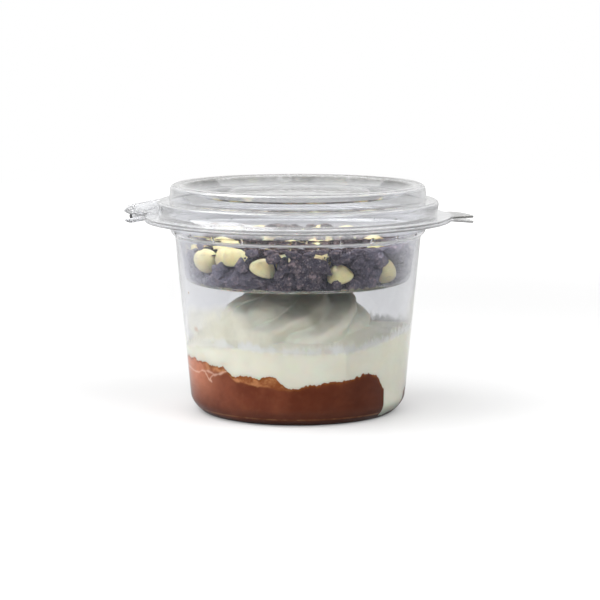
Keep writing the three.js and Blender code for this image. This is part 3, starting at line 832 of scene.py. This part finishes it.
def sauceShades(points, wide, height, streaky):
    # The sauce's wide shades. The smear above the body's own edge is paler, and a thin line round the
    # base is paler with painted light. The left is lighter, and so is the foot, both painted light. The
    # body is darker to the right, painted shade away from the light from the left, and near the base.
    body = roundTable(sauce["body"], wide) + 0.25 * rough(points, 1.6, 23)
    smear = smooth(-0.1, 0.5, height - body) * smooth(-61, -50, wide) * (1 - smooth(-9, 3, wide))
    # painted light: a thin bright line round the base
    line = 0.6 * (1 - smooth(0.1, 0.4, np.abs(height - 2.4))) * np.clip(0.5 + streaky, 0, 1)
    # painted light on the left and at the foot
    left = 0.85 * (1 - smooth(-66, -38, wide)) * smooth(-135, -90, wide) * smooth(4, 15, height)
    foot = 0.05 * smooth(6.5, 4, height) * smooth(2.2, 2.6, height) * smooth(70, 20, np.abs(wide))
    # painted shade: darker to the right and near the base
    deep = 0.78 * smooth(-50, 52, wide) + 0.16 * smooth(9, 4, height) + 0.7 * (1 - smooth(0.8, 2.0, height))
    return {
        "paler": np.clip(np.maximum(smear * mix(0.6, 1.15, streaky), line), 0, 1),
        "light": np.maximum(left * mix(0.8, 1.1, streaky), foot),
        "deep": mix(0.45, deep, smooth(-0.5, 0.4, np.cos(np.radians(wide)))),
    }


def makeSauce():
    # Base and wall follow the inside of the cup to the sauce's edge, then rings lead in over the top.
    azimuth = np.linspace(-180, 180, sauce["columns"], endpoint=False)
    edge = sauceEdge(azimuth)
    base = np.linspace(0, wallLength[upFrom], 16)[:, None] + 0 * azimuth
    share = np.linspace(0, 1, sauce["wallRows"])[1:, None]
    outer = np.array(alongWall(np.concatenate([base, mix(wallLength[upFrom], lengthAt(edge), share)])))
    inward = np.array([0.97, 0.85, 0.6, 0.3, 0.0])[:, None]
    top = [outer[0, -1] * inward, mix(sauce["middle"], edge, smooth(0.3, 1, inward))]
    outer[0] += 0.03         # a hair further into the wall than the yogurt behind it
    radius, height = np.concatenate([outer, top], 1)
    points = around(radius, height, azimuth)
    wide = azimuth + 0 * height
    streaky = 0.5 + 0.5 * rough(points * [1, 1, 2.5], 2.4, 31)
    marks = {"cream": 0, **sauceShades(points, wide, height, streaky)}
    lip = height - edge + 0.3 * rough(points, 1.1, 5)
    patchy = smooth(-0.9, 0.1, rough(points, 2, 7))
    marks["rim"] = 0.9 * smooth(-0.95, -0.2, lip) * patchy * smooth(3, 8, height)
    for i, line in enumerate(sauce["streaks"]):
        width = sauce["streakWidth"] * (0.7 + 0.6 * rough(points, 1.1, 41 + i))
        streak = 1 - smooth(0.2, 1.3, nearLine(wide, height, line) / np.maximum(width, 0.05))
        marks["cream"] = np.maximum(marks["cream"], 0.8 * streak)
    marks["deep"] = marks["deep"] * (1 - smooth(-3, 0.5, height - edge) * 0.4) * mix(0.85, 1.1, streaky)
    marks["deep"] = np.clip(marks["deep"], 0, 0.92)
    piece = makePiece("chocolateLayer", points, wallCells(*points.shape[:2]), chocolate, marks)
    return fit(piece, "pot", "chocolate", "chocolate_sauce")


yogurt = {
    # where the yogurt leaves the wall: azimuth and height
    "contact": [(-178, 24), (-140, 23.2), (-110, 22.2), (-79, 22.6), (-64, 23.9), (-42, 25.1),
                (-29, 25.2), (-14, 24.8), (1, 24.3), (11, 24.1), (24, 24.3), (32, 24.7), (45, 26.2),
                (62, 27.7), (78, 28.2), (95, 28.4), (120, 26.4), (150, 24.8)],
    "moundRadius": 24.8,
    "lean": 2.2,             # the mound reaches further left than right by this
    "foot": 26.2,
    "top": 42.2,
    "fullness": 2.4,
    "folds": 7,
    "firstFold": -6.0,
    "twist": 75.0,
    "foldDepth": 3.3,
    "overhang": 0.7,
    # a hollow between folds with painted shade: azimuth, height, half turn, half height, strength
    "hollow": {"azimuth": 16, "height": 34, "halfTurn": 12, "halfHeight": 5, "hollowShade": 0.55},
    "columns": 600,
    "moundRows": 90,
}


def moundSurface(azimuth):
    # A dome whose climb is sqrt(1 - p^fullness), cut into folds that run round as they climb: across
    # a fold the surface swells outwards slowly, and falls back sharply under an overhanging rim.
    theta = np.linspace(0, np.pi / 2, yogurt["moundRows"])[:, None]
    part = np.sin(theta) ** 0.85
    climb = np.sqrt(np.clip(1 - part ** yogurt["fullness"], 0, 1))
    reach = yogurt["moundRadius"] - yogurt["lean"] * np.sin(np.radians(azimuth))
    contact = roundTable(yogurt["contact"], azimuth)
    foot = mix(yogurt["foot"], contact + 1.0, 0.7)
    radius, height = part * reach, mix(foot, yogurt["top"], climb)
    base = around(radius, height, azimuth)
    bent = 11 * rough(base, 13, 3, 2)
    turn = (azimuth - yogurt["firstFold"] - yogurt["twist"] * climb + bent) * yogurt["folds"] / 360
    number, phase = np.floor(turn) % yogurt["folds"], turn % 1
    swell = smooth(0, 0.58, phase) * (1 - smooth(0.54, 1.0, phase))
    strength = 0.7 + 0.5 * np.sin(number * 2.4 + 0.7)
    fade = smooth(0.10, 0.45, part) * (1 - 0.45 * smooth(0.97, 1, part))
    depth = yogurt["foldDepth"] * strength * fade
    droop = yogurt["overhang"] * smooth(0.4, 0.8, phase) * (1 - smooth(0.8, 1.0, phase)) * strength * fade
    radius = radius + depth * (swell - 0.45) * mix(0.5, 1, part) + 0.7 * rough(base, 9, 9, 2) * part
    height = height + depth * 0.55 * (swell - 0.45) * climb - droop * mix(0.6, 1, part)
    lumps = 0.35 * rough(base, 5, 17, 3)
    return radius + lumps * part, height + lumps * climb, contact


def makeYogurt():
    # Mound, then a shelf out to the wall, then down the wall behind the sauce's edge, closed below.
    azimuth = np.linspace(-180, 180, yogurt["columns"], endpoint=False)
    moundR, moundZ, contact = moundSurface(azimuth)
    contactR, contactZ = alongWall(lengthAt(contact))
    share = np.linspace(0, 1, 16)[1:-1, None]
    shelfR = mix(moundR[-1], contactR, share)
    arch = np.sin(np.pi * share)
    full = smooth(30, 80, azimuth) * (1 - smooth(100, 130, azimuth))   # the shelf is higher at the right
    shelfZ = mix(moundZ[-1], contactZ, smooth(0, 1, share)) + (0.9 * full - 0.7) * arch
    shelfZ = shelfZ + 0.35 * rough(around(shelfR, shelfZ, azimuth), 4, 51) * arch
    edge = sauceEdge(azimuth)
    low = np.where(edge > 4, lengthAt(np.maximum(edge - 1.6, 1)), wallLength[upFrom])
    down = mix(lengthAt(contact), low, np.linspace(0, 1, 48)[:, None])
    wallR, wallZ = alongWall(down)
    wallR = wallR - 0.1 * smooth(0.5, 0.1, wallZ - edge) * (edge > 4)
    under = np.array([0.6, 0.0])[:, None]
    underR, underZ = wallR[-1] * under, mix(sauce["middle"] - 1, wallZ[-1], under ** 2)
    radius = np.concatenate([moundR, shelfR, wallR, underR])[:, ::-1]
    height = np.concatenate([moundZ, shelfZ, wallZ, underZ])[:, ::-1]
    points = around(radius, height, azimuth[::-1])
    hollow = yogurt["hollow"]
    aside = (azimuth[::-1] - hollow["azimuth"] + 1.6 * (height - hollow["height"] + 1)) / hollow["halfTurn"]
    off = np.hypot(aside, (height - hollow["height"]) / hollow["halfHeight"]) + 0.25 * rough(points, 5, 61)
    # painted shade in the hollow, soft and uneven
    marks = {"hollowShade": hollow["hollowShade"] * (1 - smooth(0.1, 1, off))}
    piece = makePiece("yogurtLayer", points, wallCells(*points.shape[:2]), yogurtCream, marks)
    return fit(piece, "pot", "yogurt", "yogurt")


makeSauce()
makeYogurt()
print("sauce and yogurt ready")


# Topping in the tray: cookie crumbs and white drops

heap = {
    "level": 53.4,
    "uneven": 1.1,
    "inset": 4.4,            # the core stays about this far inside the tray's wall
    "relief": 1.2,
    "haze": (0.14, 0.62, 0.50),   # painted veil of the clear wall's reflection: all round, and at the front's left and right
    "dark": 3.4,             # painted shade: places deeper in the heap than this are darkest
    "columns": 620,
    "rows": 56,
    "low": 44.4,
    # kinds of broken cookie: count, least and greatest radius, fineness of the ball, share at the
    # wall, and how far from the wall the outermost ones may stay
    "kinds": {"cookieChunks": (140, 2.0, 4.2, 3, 0.8, 0.5), "cookiePieces": (700, 0.8, 1.6, 1, 0.65, 3.6),
              "cookieCrumbs": (4500, 0.22, 0.6, 0, 0.5, 4.2)},
    # pieces placed one by one at the wall: azimuth, height, half width, half height, half depth, lean
    "placed": [(-11.7, 54.2, 2.6, 2.4, 2.2, 20), (-5.2, 51.6, 2.2, 2.6, 1.9, 70),
               (10.2, 52.1, 6.3, 2.5, 1.7, -25), (31.5, 52.9, 2.7, 2.3, 2.0, 15),
               (38, 54.9, 3.6, 2.4, 2.3, -20), (42, 47.0, 3.6, 3.0, 2.2, -30),
               (19.5, 45.9, 2.6, 1.6, 1.8, 15), (3, 47.4, 4.0, 2.6, 2.1, 5),
               (-7, 46.9, 3.2, 2.3, 2.0, -15), (-22.5, 46.3, 3.4, 1.9, 2.0, 10),
               (-33, 48.2, 3.6, 2.8, 2.2, 30), (-29.3, 52.2, 2.4, 2.6, 2.0, 40),
               (-44.5, 49.0, 3.4, 2.9, 2.0, -10), (-41, 45.8, 2.8, 1.9, 1.9, 0),
               (30, 45.6, 3.2, 1.7, 1.9, -8), (24, 54.6, 3.6, 1.9, 2.0, 8),
               (46, 52.9, 3.6, 2.8, 2.2, 25), (-4, 56.4, 2.0, 1.3, 1.8, 30),
               (-22, 56.2, 2.8, 1.2, 1.9, 5), (49, 56.0, 3.4, 1.4, 2.0, -5),
               (12, 56.4, 2.6, 1.1, 2.0, -10), (-56, 56.9, 1.7, 1.9, 1.6, 80),
               (-1, 55.3, 2.6, 1.5, 2.0, -10), (5.5, 56.0, 2.4, 1.3, 1.9, 15),
               (18, 56.2, 2.8, 1.4, 2.0, 5), (31, 56.2, 3.0, 1.5, 2.0, -8),
               (-14, 56.6, 2.2, 1.2, 1.9, 0), (-8, 49.6, 2.6, 2.0, 2.0, 50),
               (35, 49.9, 3.0, 2.4, 2.1, -35)],
    # pieces placed one by one on top: azimuth, distance from the axis, height, size
    "onTop": [(-15, 28, 56.2, 2.3), (-8, 29.5, 55.8, 2.4), (0, 28, 56.2, 2.7), (8, 29, 55.9, 2.3),
              (16, 29, 56.4, 2.6), (24, 28.5, 56.2, 2.5), (33, 29, 56.4, 2.7), (-10, 23.5, 57.0, 2.3),
              (-2, 23, 57.1, 2.6), (10, 24, 56.8, 2.5), (18, 24.6, 57.2, 2.3), (27, 24, 56.8, 2.4),
              (42, 27, 56.4, 2.8), (-24, 28, 56.6, 2.6), (-33, 27, 56.2, 2.5), (-6, 16.5, 58.4, 2.2),
              (25, 17.5, 58.2, 2.1), (35, 12.5, 58.6, 2.4), (18, 11, 58.4, 2.2), (136, 12.5, 58.6, 2.5),
              (152, 10.5, 58.5, 2.2), (-127, 11, 58.6, 2.6), (-143, 8, 58.4, 2.3),
              (-100, 14, 58.0, 2.4), (-70, 17, 57.8, 2.2), (78, 17, 57.8, 2.4), (58, 24, 56.8, 2.6)],
    # the share of each drop at the front wall that crumbs leave free, from the left
    "shown": (1.0, 0.8, 0.95, 0.95, 0.2, 0.3, 0.95, 0.95),
    "bare": (-84, -62),      # few crumbs lie at the wall between these azimuths
    "strays": 0.06,          # the share that still does
    "bareDepth": 3.5,        # the core stands back this much there, and this much behind windows
    "windowDepth": 6.5,
    "topReach": 36.5,
    "seed": 12,
}
trayWall = leftOf(trayOutside, tray["sheet"])
trayUp = trayWall[np.argmax(trayWall[:, 0] > tray["sideFrom"]):]
trayUp = trayUp[: np.argmax(trayUp[:, 1] > tray["sideTop"])]
trayFloor = tray["outside"][0][1] + tray["sheet"]


def trayInside(height):
    # The distance of the tray's inner wall from the axis at a height.
    return np.interp(height, climbing(trayUp[:, 1]), trayUp[:, 0])


def dropFrames():
    # Each drop's middle and point direction, from its node: the axis is the odd one out of the three
    # principal directions of its corners, and points to the end where they lie nearest to it.
    found = {}
    for name in sorted(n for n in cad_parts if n.startswith("white_drop")):
        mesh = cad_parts[name].data
        corners = np.zeros(len(mesh.vertices) * 3, np.float32)
        mesh.vertices.foreach_get("co", corners)
        corners = corners.reshape(-1, 3) / mm
        middle = corners.mean(0)
        values, directions = np.linalg.eigh(np.cov((corners - middle).T))
        axis = directions[:, 0 if values[1] - values[0] > values[2] - values[1] else 2]
        along = (corners - middle) @ axis
        off = np.linalg.norm(corners - middle - along[:, None] * axis, axis=1)
        if off[along > np.quantile(along, 0.8)].mean() > off[along < np.quantile(along, 0.2)].mean():
            axis, along = -axis, -along
        found[name] = (middle + axis * (along.max() + along.min()) / 2, axis)
    return found


drops = dropFrames()
dropMiddles = np.array([middle for middle, axis in drops.values()])
dropAxes = np.array([axis for middle, axis in drops.values()])
drop = {
    "atWall": 15,            # the first ones lie at the tray's wall, the others on top
    "height": 5.2,
    "columns": 56,
    "outline": [(0, 0), (3.0, 0.1), (4.15, 0.5), (4.42, 1.0), (4.15, 1.9), (3.2, 3.4), (1.9, 4.6),
                (0.7, 5.1), (0, 5.2)],
    "cuts": [1.0, 0.4, 0.35, 0.6, 1.0, 0.9, 0.5],
    "room": (4.6, 2.9),      # half width and half thickness that chunks keep off
    "half": (4.3, 2.6),      # its own half width and half thickness
    "sight": 0.16,           # fall of the view per length of depth
}


def makeDrops():
    # A teardrop turned about its own axis: a flat back with a rounded edge, a domed face and a soft
    # point drawn a little to one side, uneven by noise.
    profile = rounded(drop["outline"], drop["cuts"], 6, 0.1)
    turn = np.linspace(0, 360, drop["columns"], endpoint=False)
    shape = around(profile[:, :1], profile[:, 1:] - drop["height"] / 2, turn)
    lean = 0.35 * smooth(-1, 2.6, shape[..., 2:])
    for i, (name, (middle, axis)) in enumerate(drops.items()):
        side = np.cross(axis, [0.3, 0.2, 0.93])
        side /= np.linalg.norm(side)
        body = shape + lean * [np.cos(i), np.sin(i), 0]
        uneven = (1 - 0.03 * rough(shape, 3.5, 60 + i, 2))[..., None]
        body = body * uneven * [0.985, 0.93 + 0.05 * np.sin(2.1 * i), 0.99]
        points = body @ np.stack([side, np.cross(axis, side), axis]) + middle
        piece = makePiece("whiteDrop" + name[-2:], points, wallCells(*points.shape[:2]), whiteChocolate)
        fit(piece, "pot", "white_drop", name)


def rockShape(level):
    # A ball of triangles to break into chunks.
    work = bmesh.new()
    bmesh.ops.create_icosphere(work, subdivisions=level + 1, radius=1)
    points = np.array([v.co[:] for v in work.verts])
    faces = np.array([[v.index for v in f.verts] for f in work.faces])
    work.free()
    return points, faces


def hiding(points, grow):
    # How far inside the outline of a drop that it hides from the front a place lies: 1 in the middle,
    # 0 at the outline. A drop is a flat ball there, whose outline is an ellipse of its slant.
    farOut = -9.0
    inside = farOut
    wide, thick = drop["half"]
    for (middle, axis), share in zip(drops.values(), heap["shown"]):
        ahead = middle[1] - points[..., 1]
        off = np.stack([points[..., 0] - middle[0], points[..., 2] - drop["sight"] * ahead - middle[2]], -1)
        slant = axis[[0, 2]]
        spread = wide ** 2 * np.eye(2) - (wide ** 2 - thick ** 2) * np.outer(slant, slant)
        reach = np.sqrt(np.einsum("...i,ij,...j->...", off, np.linalg.inv(spread), off)) / share
        inside = np.maximum(inside, np.where(ahead > -1, 1 - reach / (1 + grow / wide), farOut))
    return inside


def brokenShapes(ball, count, fine, random):
    # Balls pulled out of round, cut by flat breaks and roughened by noise of two sizes, with a number
    # from 0 to 1 for how much each corner stands out, for the painted highlights on crests.
    shape = ball[None] * random.uniform(0.74, 1.15, (count, 1, 3))
    for cut in range(6 if fine else 2):
        normal = random.normal(size=(count, 1, 3))
        normal /= np.linalg.norm(normal, axis=2, keepdims=True)
        cutAt = random.uniform(0.35, 0.8, (count, 1, 1))
        over = np.maximum((shape * normal).sum(2, keepdims=True) - cutAt, 0)
        shape = shape - 0.9 * over * normal
    offsets = random.uniform(0, 80, (count, 1, 3))
    swell = 0.18 * rough(ball[None] + offsets, 0.9, 71, 2)
    if fine > 1:
        swell = swell + 0.12 * rough(ball[None] + offsets, 0.3, 75, 2)
    return shape * (1 + swell)[..., None], smooth(-0.05, 0.2, swell)


def inHeap(points):
    # Marks for the place of each point: depth, for painted shade between the pieces, is 0 at the tray's
    # wall or on top and 1 well inside; haze, a painted veil of the clear wall's reflection, is strongest
    # at both sides of the front.
    wall = trayInside(points[..., 2]) - np.hypot(points[..., 0], points[..., 1])
    depth = smooth(0.4, heap["dark"], np.minimum(wall, heap["level"] + 3.4 - points[..., 2]))
    azimuth = np.degrees(np.arctan2(points[..., 0], -points[..., 1]))
    front, left, right = heap["haze"]
    haze = front + (left - front) * smooth(-12, -50, azimuth) * smooth(-98, -68, azimuth)
    haze = haze + (right - front) * smooth(12, 52, azimuth) * smooth(98, 68, azimuth)
    return {"depth": depth, "haze": haze * smooth(6, 2, wall)}


def offDrops(places, radius):
    # True where a chunk clears every drop, each taken as a flat ball about its own axis.
    off = places[:, None] - dropMiddles[None]
    along = (off * dropAxes[None]).sum(2)
    across = np.sqrt(np.maximum((off ** 2).sum(2) - along ** 2, 0))
    wide, thick = drop["room"]
    grow = 0.7 * radius[:, None]
    return np.all((across / (wide + grow)) ** 2 + (along / (thick + grow)) ** 2 > 1, axis=1)


def turned(shape, random):
    # Each shape turned at random, by a matrix from a unit quaternion.
    q = random.normal(size=(len(shape), 4))
    w, x, y, z = (q / np.linalg.norm(q, axis=1, keepdims=True)).T
    turn = np.stack([1 - 2 * (y * y + z * z), 2 * (x * y - z * w), 2 * (x * z + y * w),
                     2 * (x * y + z * w), 1 - 2 * (x * x + z * z), 2 * (y * z - x * w),
                     2 * (x * z - y * w), 2 * (y * z + x * w), 1 - 2 * (x * x + y * y)], 1).reshape(-1, 3, 3)
    return np.einsum("nij,nvj->nvi", turn, shape)


def keepInTray(points):
    # Pieces that reach past the tray's inner side are pressed flat on it, all but fine hollows.
    flat = np.hypot(points[..., 0], points[..., 1])
    limit = trayInside(points[..., 2]) - 0.08 - 0.2 * (1 + rough(points, 0.9, 83, 2))
    points[..., :2] *= np.minimum(1, limit / flat)[..., None]
    points[..., 2] = np.maximum(points[..., 2], trayFloor + 0.12)
    return points


def cookiePiece(name, points, faces, tone, crestHighlights):
    # One mesh from many broken pieces that share their faces' pattern.
    count, size = points.shape[:2]
    every = (faces[None] + np.arange(count)[:, None, None] * size).reshape(-1, 3)
    marks = {"tone": np.repeat(tone, size), "crestHighlight": crestHighlights, **inHeap(points)}
    return fit(makePiece(name, points, every, cookie, marks), "pot", "crumb")


def makeChunks(name, count, least, most, fine, atWall, away, random):
    # Broken pieces strewn at the wall and on top, where drops and windows leave room for them.
    ball, faces = rockShape(fine)
    tries = count * 3
    radius = least + (most - least) * random.random(tries) ** 1.5
    azimuth = random.uniform(-180, 180, tries)
    onWall = random.random(tries) < atWall
    height = np.where(onWall, random.uniform(heap["low"], heap["level"] + 1.4, tries),
                      heap["level"] + random.uniform(-0.6, 1.0, tries) + 0.3 * radius)
    wallR = trayInside(height) - radius * 0.88 - away * random.uniform(0.3, 1, tries)
    distance = np.where(onWall, wallR, np.minimum(heap["topReach"] * np.sqrt(random.random(tries)), wallR))
    places = around(distance, height, azimuth)
    room = offDrops(places, radius)
    room &= hiding(places, 0.7 * radius) < 0
    start, end = heap["bare"]
    strays = random.random(tries) < heap["strays"]
    room &= (azimuth < start - 20) | (azimuth > end) | (distance < 30) | strays
    kept = np.flatnonzero(room)[:count]
    shape, crestHighlights = brokenShapes(ball, len(kept), fine, random)
    points = turned(shape, random) * radius[kept, None, None] + places[kept, None]
    return cookiePiece(name, keepInTray(points), faces, random.random(len(kept)) ** 1.6, crestHighlights)


def makePlaced(random):
    # The pieces placed one by one: width lies round the wall, height up it, then the lean is turned in.
    ball, faces = rockShape(3)
    azimuth, height, wide, tall, deep, lean = np.array(heap["placed"], float).T[:, :, None]
    atWall = [azimuth, trayInside(height) - 0.75 * deep, height, wide, tall, deep, lean]
    azimuth, distance, height, size = np.array(heap["onTop"]).T[:, :, None]
    onTop = [azimuth, distance, height, size, 0.7 * size, size, 0 * size]
    azimuth, distance, height, wide, tall, deep, lean = np.concatenate([atWall, onTop], 1)
    shape, crestHighlights = brokenShapes(ball, len(wide), 3, random)
    across, up = shape[..., 0] * wide, shape[..., 2] * tall
    c, s = np.cos(np.radians(lean)), np.sin(np.radians(lean))
    across, up, out = across * c - up * s, across * s + up * c, shape[..., 1] * deep
    points = around(distance + out, height + up, azimuth + np.degrees(across / distance))
    tone = random.random(len(wide)) ** 1.3
    return cookiePiece("cookiePlaced", keepInTray(points), faces, tone, crestHighlights)


def makeHeap():
    # A dark core that fills the tray's middle, broken up by noise and hollowed behind the windows.
    azimuth = np.linspace(-180, 180, heap["columns"], endpoint=False)
    floor = trayFloor + 0.15
    side = np.linspace(floor + 0.6, heap["level"] - 0.8, heap["rows"])[:, None]
    top = np.linspace(0.98, 0, 70)[:, None] ** 0.8
    start, end = heap["bare"]
    bare = smooth(start - 22, start - 8, azimuth) * (1 - smooth(end - 4, end + 6, azimuth))
    inset = heap["inset"] + heap["bareDepth"] * bare
    reach = trayInside(side) - inset
    reach = reach - heap["windowDepth"] * smooth(-0.25, 0.15, hiding(around(reach, side, azimuth), 1.2))
    radius = np.concatenate([[0 * azimuth], reach[:1] - 1, reach, top * (trayInside(heap["level"]) - inset)])
    height = np.concatenate([[[floor]], [[floor]], side, 0 * top + heap["level"]]) + 0 * azimuth
    points = around(radius, height, azimuth)
    bumps = rough(points, 2.4, 81, 4)
    onTop = smooth(heap["level"] - 1.5, heap["level"], points[..., 2])
    hollow = np.linalg.norm(points[..., None, :2] - dropMiddles[drop["atWall"]:, :2], axis=-1).min(-1)
    points[..., 2] += (heap["uneven"] * bumps - 0.5 * (1 - smooth(3.5, 5.5, hollow))) * onTop
    spread = heap["relief"] * bumps * (1 - onTop) * (points[..., 2] > floor + 0.3)
    points[..., :2] *= (1 + spread / np.maximum(radius, 1))[..., None]
    tone = np.clip(0.15 + 0.3 * rough(points, 1.3, 87, 2), 0, 1)
    # the core's crests get painted highlights too
    marks = {"tone": tone, "crestHighlight": smooth(0.1, 0.9, bumps), **inHeap(points)}
    core = makePiece("cookieCore", points, wallCells(*points.shape[:2]), cookie, marks)
    fit(core, "pot", "crumb", "cookie_crumbs")
    random = np.random.default_rng(heap["seed"])
    makePlaced(random)
    for name, values in heap["kinds"].items():
        makeChunks(name, *values, random)


makeDrops()
makeHeap()
print("topping ready")


# Smears, dust and a painted veil on the clear walls

film = {
    "columns": 900,
    "rows": 110,
    "low": 19.0,
    "high": 42.5,
    "sheet": 0.08,
    # bands above where the yogurt leaves the wall: from and to azimuth, height above it, cover
    "bands": [(-105, -46, 3.2, 0.8), (-52, -22, 3.0, 0.85), (-30, 14, 1.9, 0.7), (6, 100, 3.2, 0.85),
              (100, 260, 2.5, 0.5)],
    # spots of rust colour: azimuth, height, half sizes round and up, strength
    "spots": [(-61, 29.4, 3.4, 1.4, 0.6), (-66, 41.0, 0.8, 0.5, 0.9), (14, 24.6, 4.0, 1.3, 0.25),
              (-40, 19.6, 5, 0.8, 0.45)],
    # patches of haze in the same terms
    "patches": [(-59, 30.5, 18, 8.5, 0.34), (-40, 31.5, 20, 8.5, 0.74), (-24, 28, 16, 4.5, 0.45),
                (80, 34, 16, 9, 0.25)],
}


def wallGrid(part):
    # Azimuths and heights of a grid on a wall, all round the pot.
    height = np.linspace(part["low"], part["high"], part["rows"])[:, None]
    return np.broadcast_arrays(np.linspace(-180, 180, part["columns"], endpoint=False), height)


def ovals(azimuth, height, rows):
    # For each soft oval, how far out each point lies, 1 at its edge, and the oval's strength.
    for middle, level, halfTurn, halfUp, strength in rows:
        yield np.hypot(apart(azimuth, middle) / halfTurn, (height - level) / halfUp), strength


def clothe(name, path, azimuth, height, marks, material, slot):
    # A thin closed sheet on a wall where the cover, from 0 to 1, is more than a trace.
    radius = np.interp(height, path[:, 1], path[:, 0])
    points = around(radius, height, azimuth)
    cells = wallCells(*points.shape[:2])
    cells = cells[(marks["cover"].ravel()[cells] > 0.03).any(1)][:, ::-1]
    used = np.unique(cells)
    renumber = np.zeros(height.size, int)
    renumber[used] = np.arange(len(used))
    marks = {mark: np.clip(values, 0, 1).ravel()[used] for mark, values in marks.items()}
    piece = makePiece(name, points.reshape(-1, 3)[used], renumber[cells], material, marks)
    thicken(piece, film["sheet"], 1)
    return fit(piece, "pot", slot)


def makeWallFilm():
    # Cream and haze on the cup's wall over the yogurt: each band fades upwards over its height and
    # is frayed by upright noise; spots and patches are soft ovals.
    azimuth, height = wallGrid(film)
    places = around(wallReach, height * 0.3, azimuth)
    frayed, cloudy = rough(places, 0.9, 91, 2), rough(places * [1, 1, 2.5], 4, 97)
    above = height - roundTable(yogurt["contact"], azimuth)
    cover = 0
    for start, end, tall, strength in film["bands"]:
        share = 1 - smooth(0.75, 1.1, np.abs(apart(azimuth, (start + end) / 2)) / ((end - start) / 2))
        up = 1 - smooth(0.1, 1.0, above / (tall * (1 + 0.55 * frayed + 0.45 * cloudy)))
        patchy = 0.8 + 0.3 * cloudy + 0.25 * frayed
        cover = np.maximum(cover, strength * share * up * smooth(-1.2, -0.1, above + 0.4 * frayed) * patchy)
    cool = smooth(0, 0.3, cover) * smooth(4, 1.5, above) * mix(0.35, 0.9, smooth(-60, -30, azimuth))
    for oval, strength in ovals(azimuth, height, film["patches"]):
        patch = strength * (1 - smooth(0.3, 1.0, oval)) * (0.92 + 0.3 * cloudy + 0.25 * frayed)
        cover = 1 - (1 - cover) * (1 - np.clip(patch, 0, 1) * smooth(-0.6, 0.6, above))
    rust = 0
    for oval, strength in ovals(azimuth, height, film["spots"]):
        spot = strength * (1 - smooth(0.3, 1.0, oval + 0.25 * frayed))
        rust, cover = np.maximum(rust, spot), np.maximum(cover, spot * 0.8)
    marks = {"cover": cover, "cool": cool, "spot": rust}
    return clothe("creamFilmOnCup", insideWall[upFrom:], azimuth, height, marks, creamFilm, "yogurt")


dustAndSheen = {
    "columns": 520,
    "rows": 90,
    "low": 43.4,
    "high": 57.5,
    # grey haze on the tray's wall, dust with a painted veil of the wall's reflection: azimuth, height, half
    # sizes, strength
    "patches": [(-82, 49, 24, 12, 0.75), (-60, 45.2, 20, 4, 0.42), (80, 49, 22, 12, 0.45)],
    "veil": 0.05,            # cover all round, a painted veil
    "line": (43.6, 44.3, 0.6),   # cream left along the foot: from and to height, cover
}


def makeTrayDustAndSheen():
    # Grey dust of crumbs on the tray's wall with a painted veil of the wall's reflection: soft ovals,
    # grainy, with a thin line at the tray's foot.
    azimuth, height = wallGrid(dustAndSheen)
    places = around(wallReach, height, azimuth)
    grainy = rough(places, 0.9, 101)
    cover = dustAndSheen["veil"] * (1 + 0.3 * grainy)
    for oval, strength in ovals(azimuth, height, dustAndSheen["patches"]):
        cover = np.maximum(cover, strength * (1 - smooth(0.3, 1.0, oval)) * (0.9 + 0.6 * grainy))
    low, high, strength = dustAndSheen["line"]
    line = strength * smooth(low - 0.3, low, height) * smooth(-0.3, 0.5, rough(places, 3, 103))
    line = line * (1 - smooth(high - 0.3, high + 0.4, height + 0.5 * grainy))
    cover = np.maximum(cover, line)
    path = np.stack([trayUp[:, 0] + 0.1, climbing(trayUp[:, 1])], 1)
    marks = {"cover": cover, "cool": smooth(0.1, 0.5, cover), "spot": smooth(0.1, 0.3, line)}
    return clothe("dustAndSheenOnTray", path, azimuth, height, marks, crumbDustAndSheen, "crumb")


makeWallFilm()
makeTrayDustAndSheen()
print("smears ready")
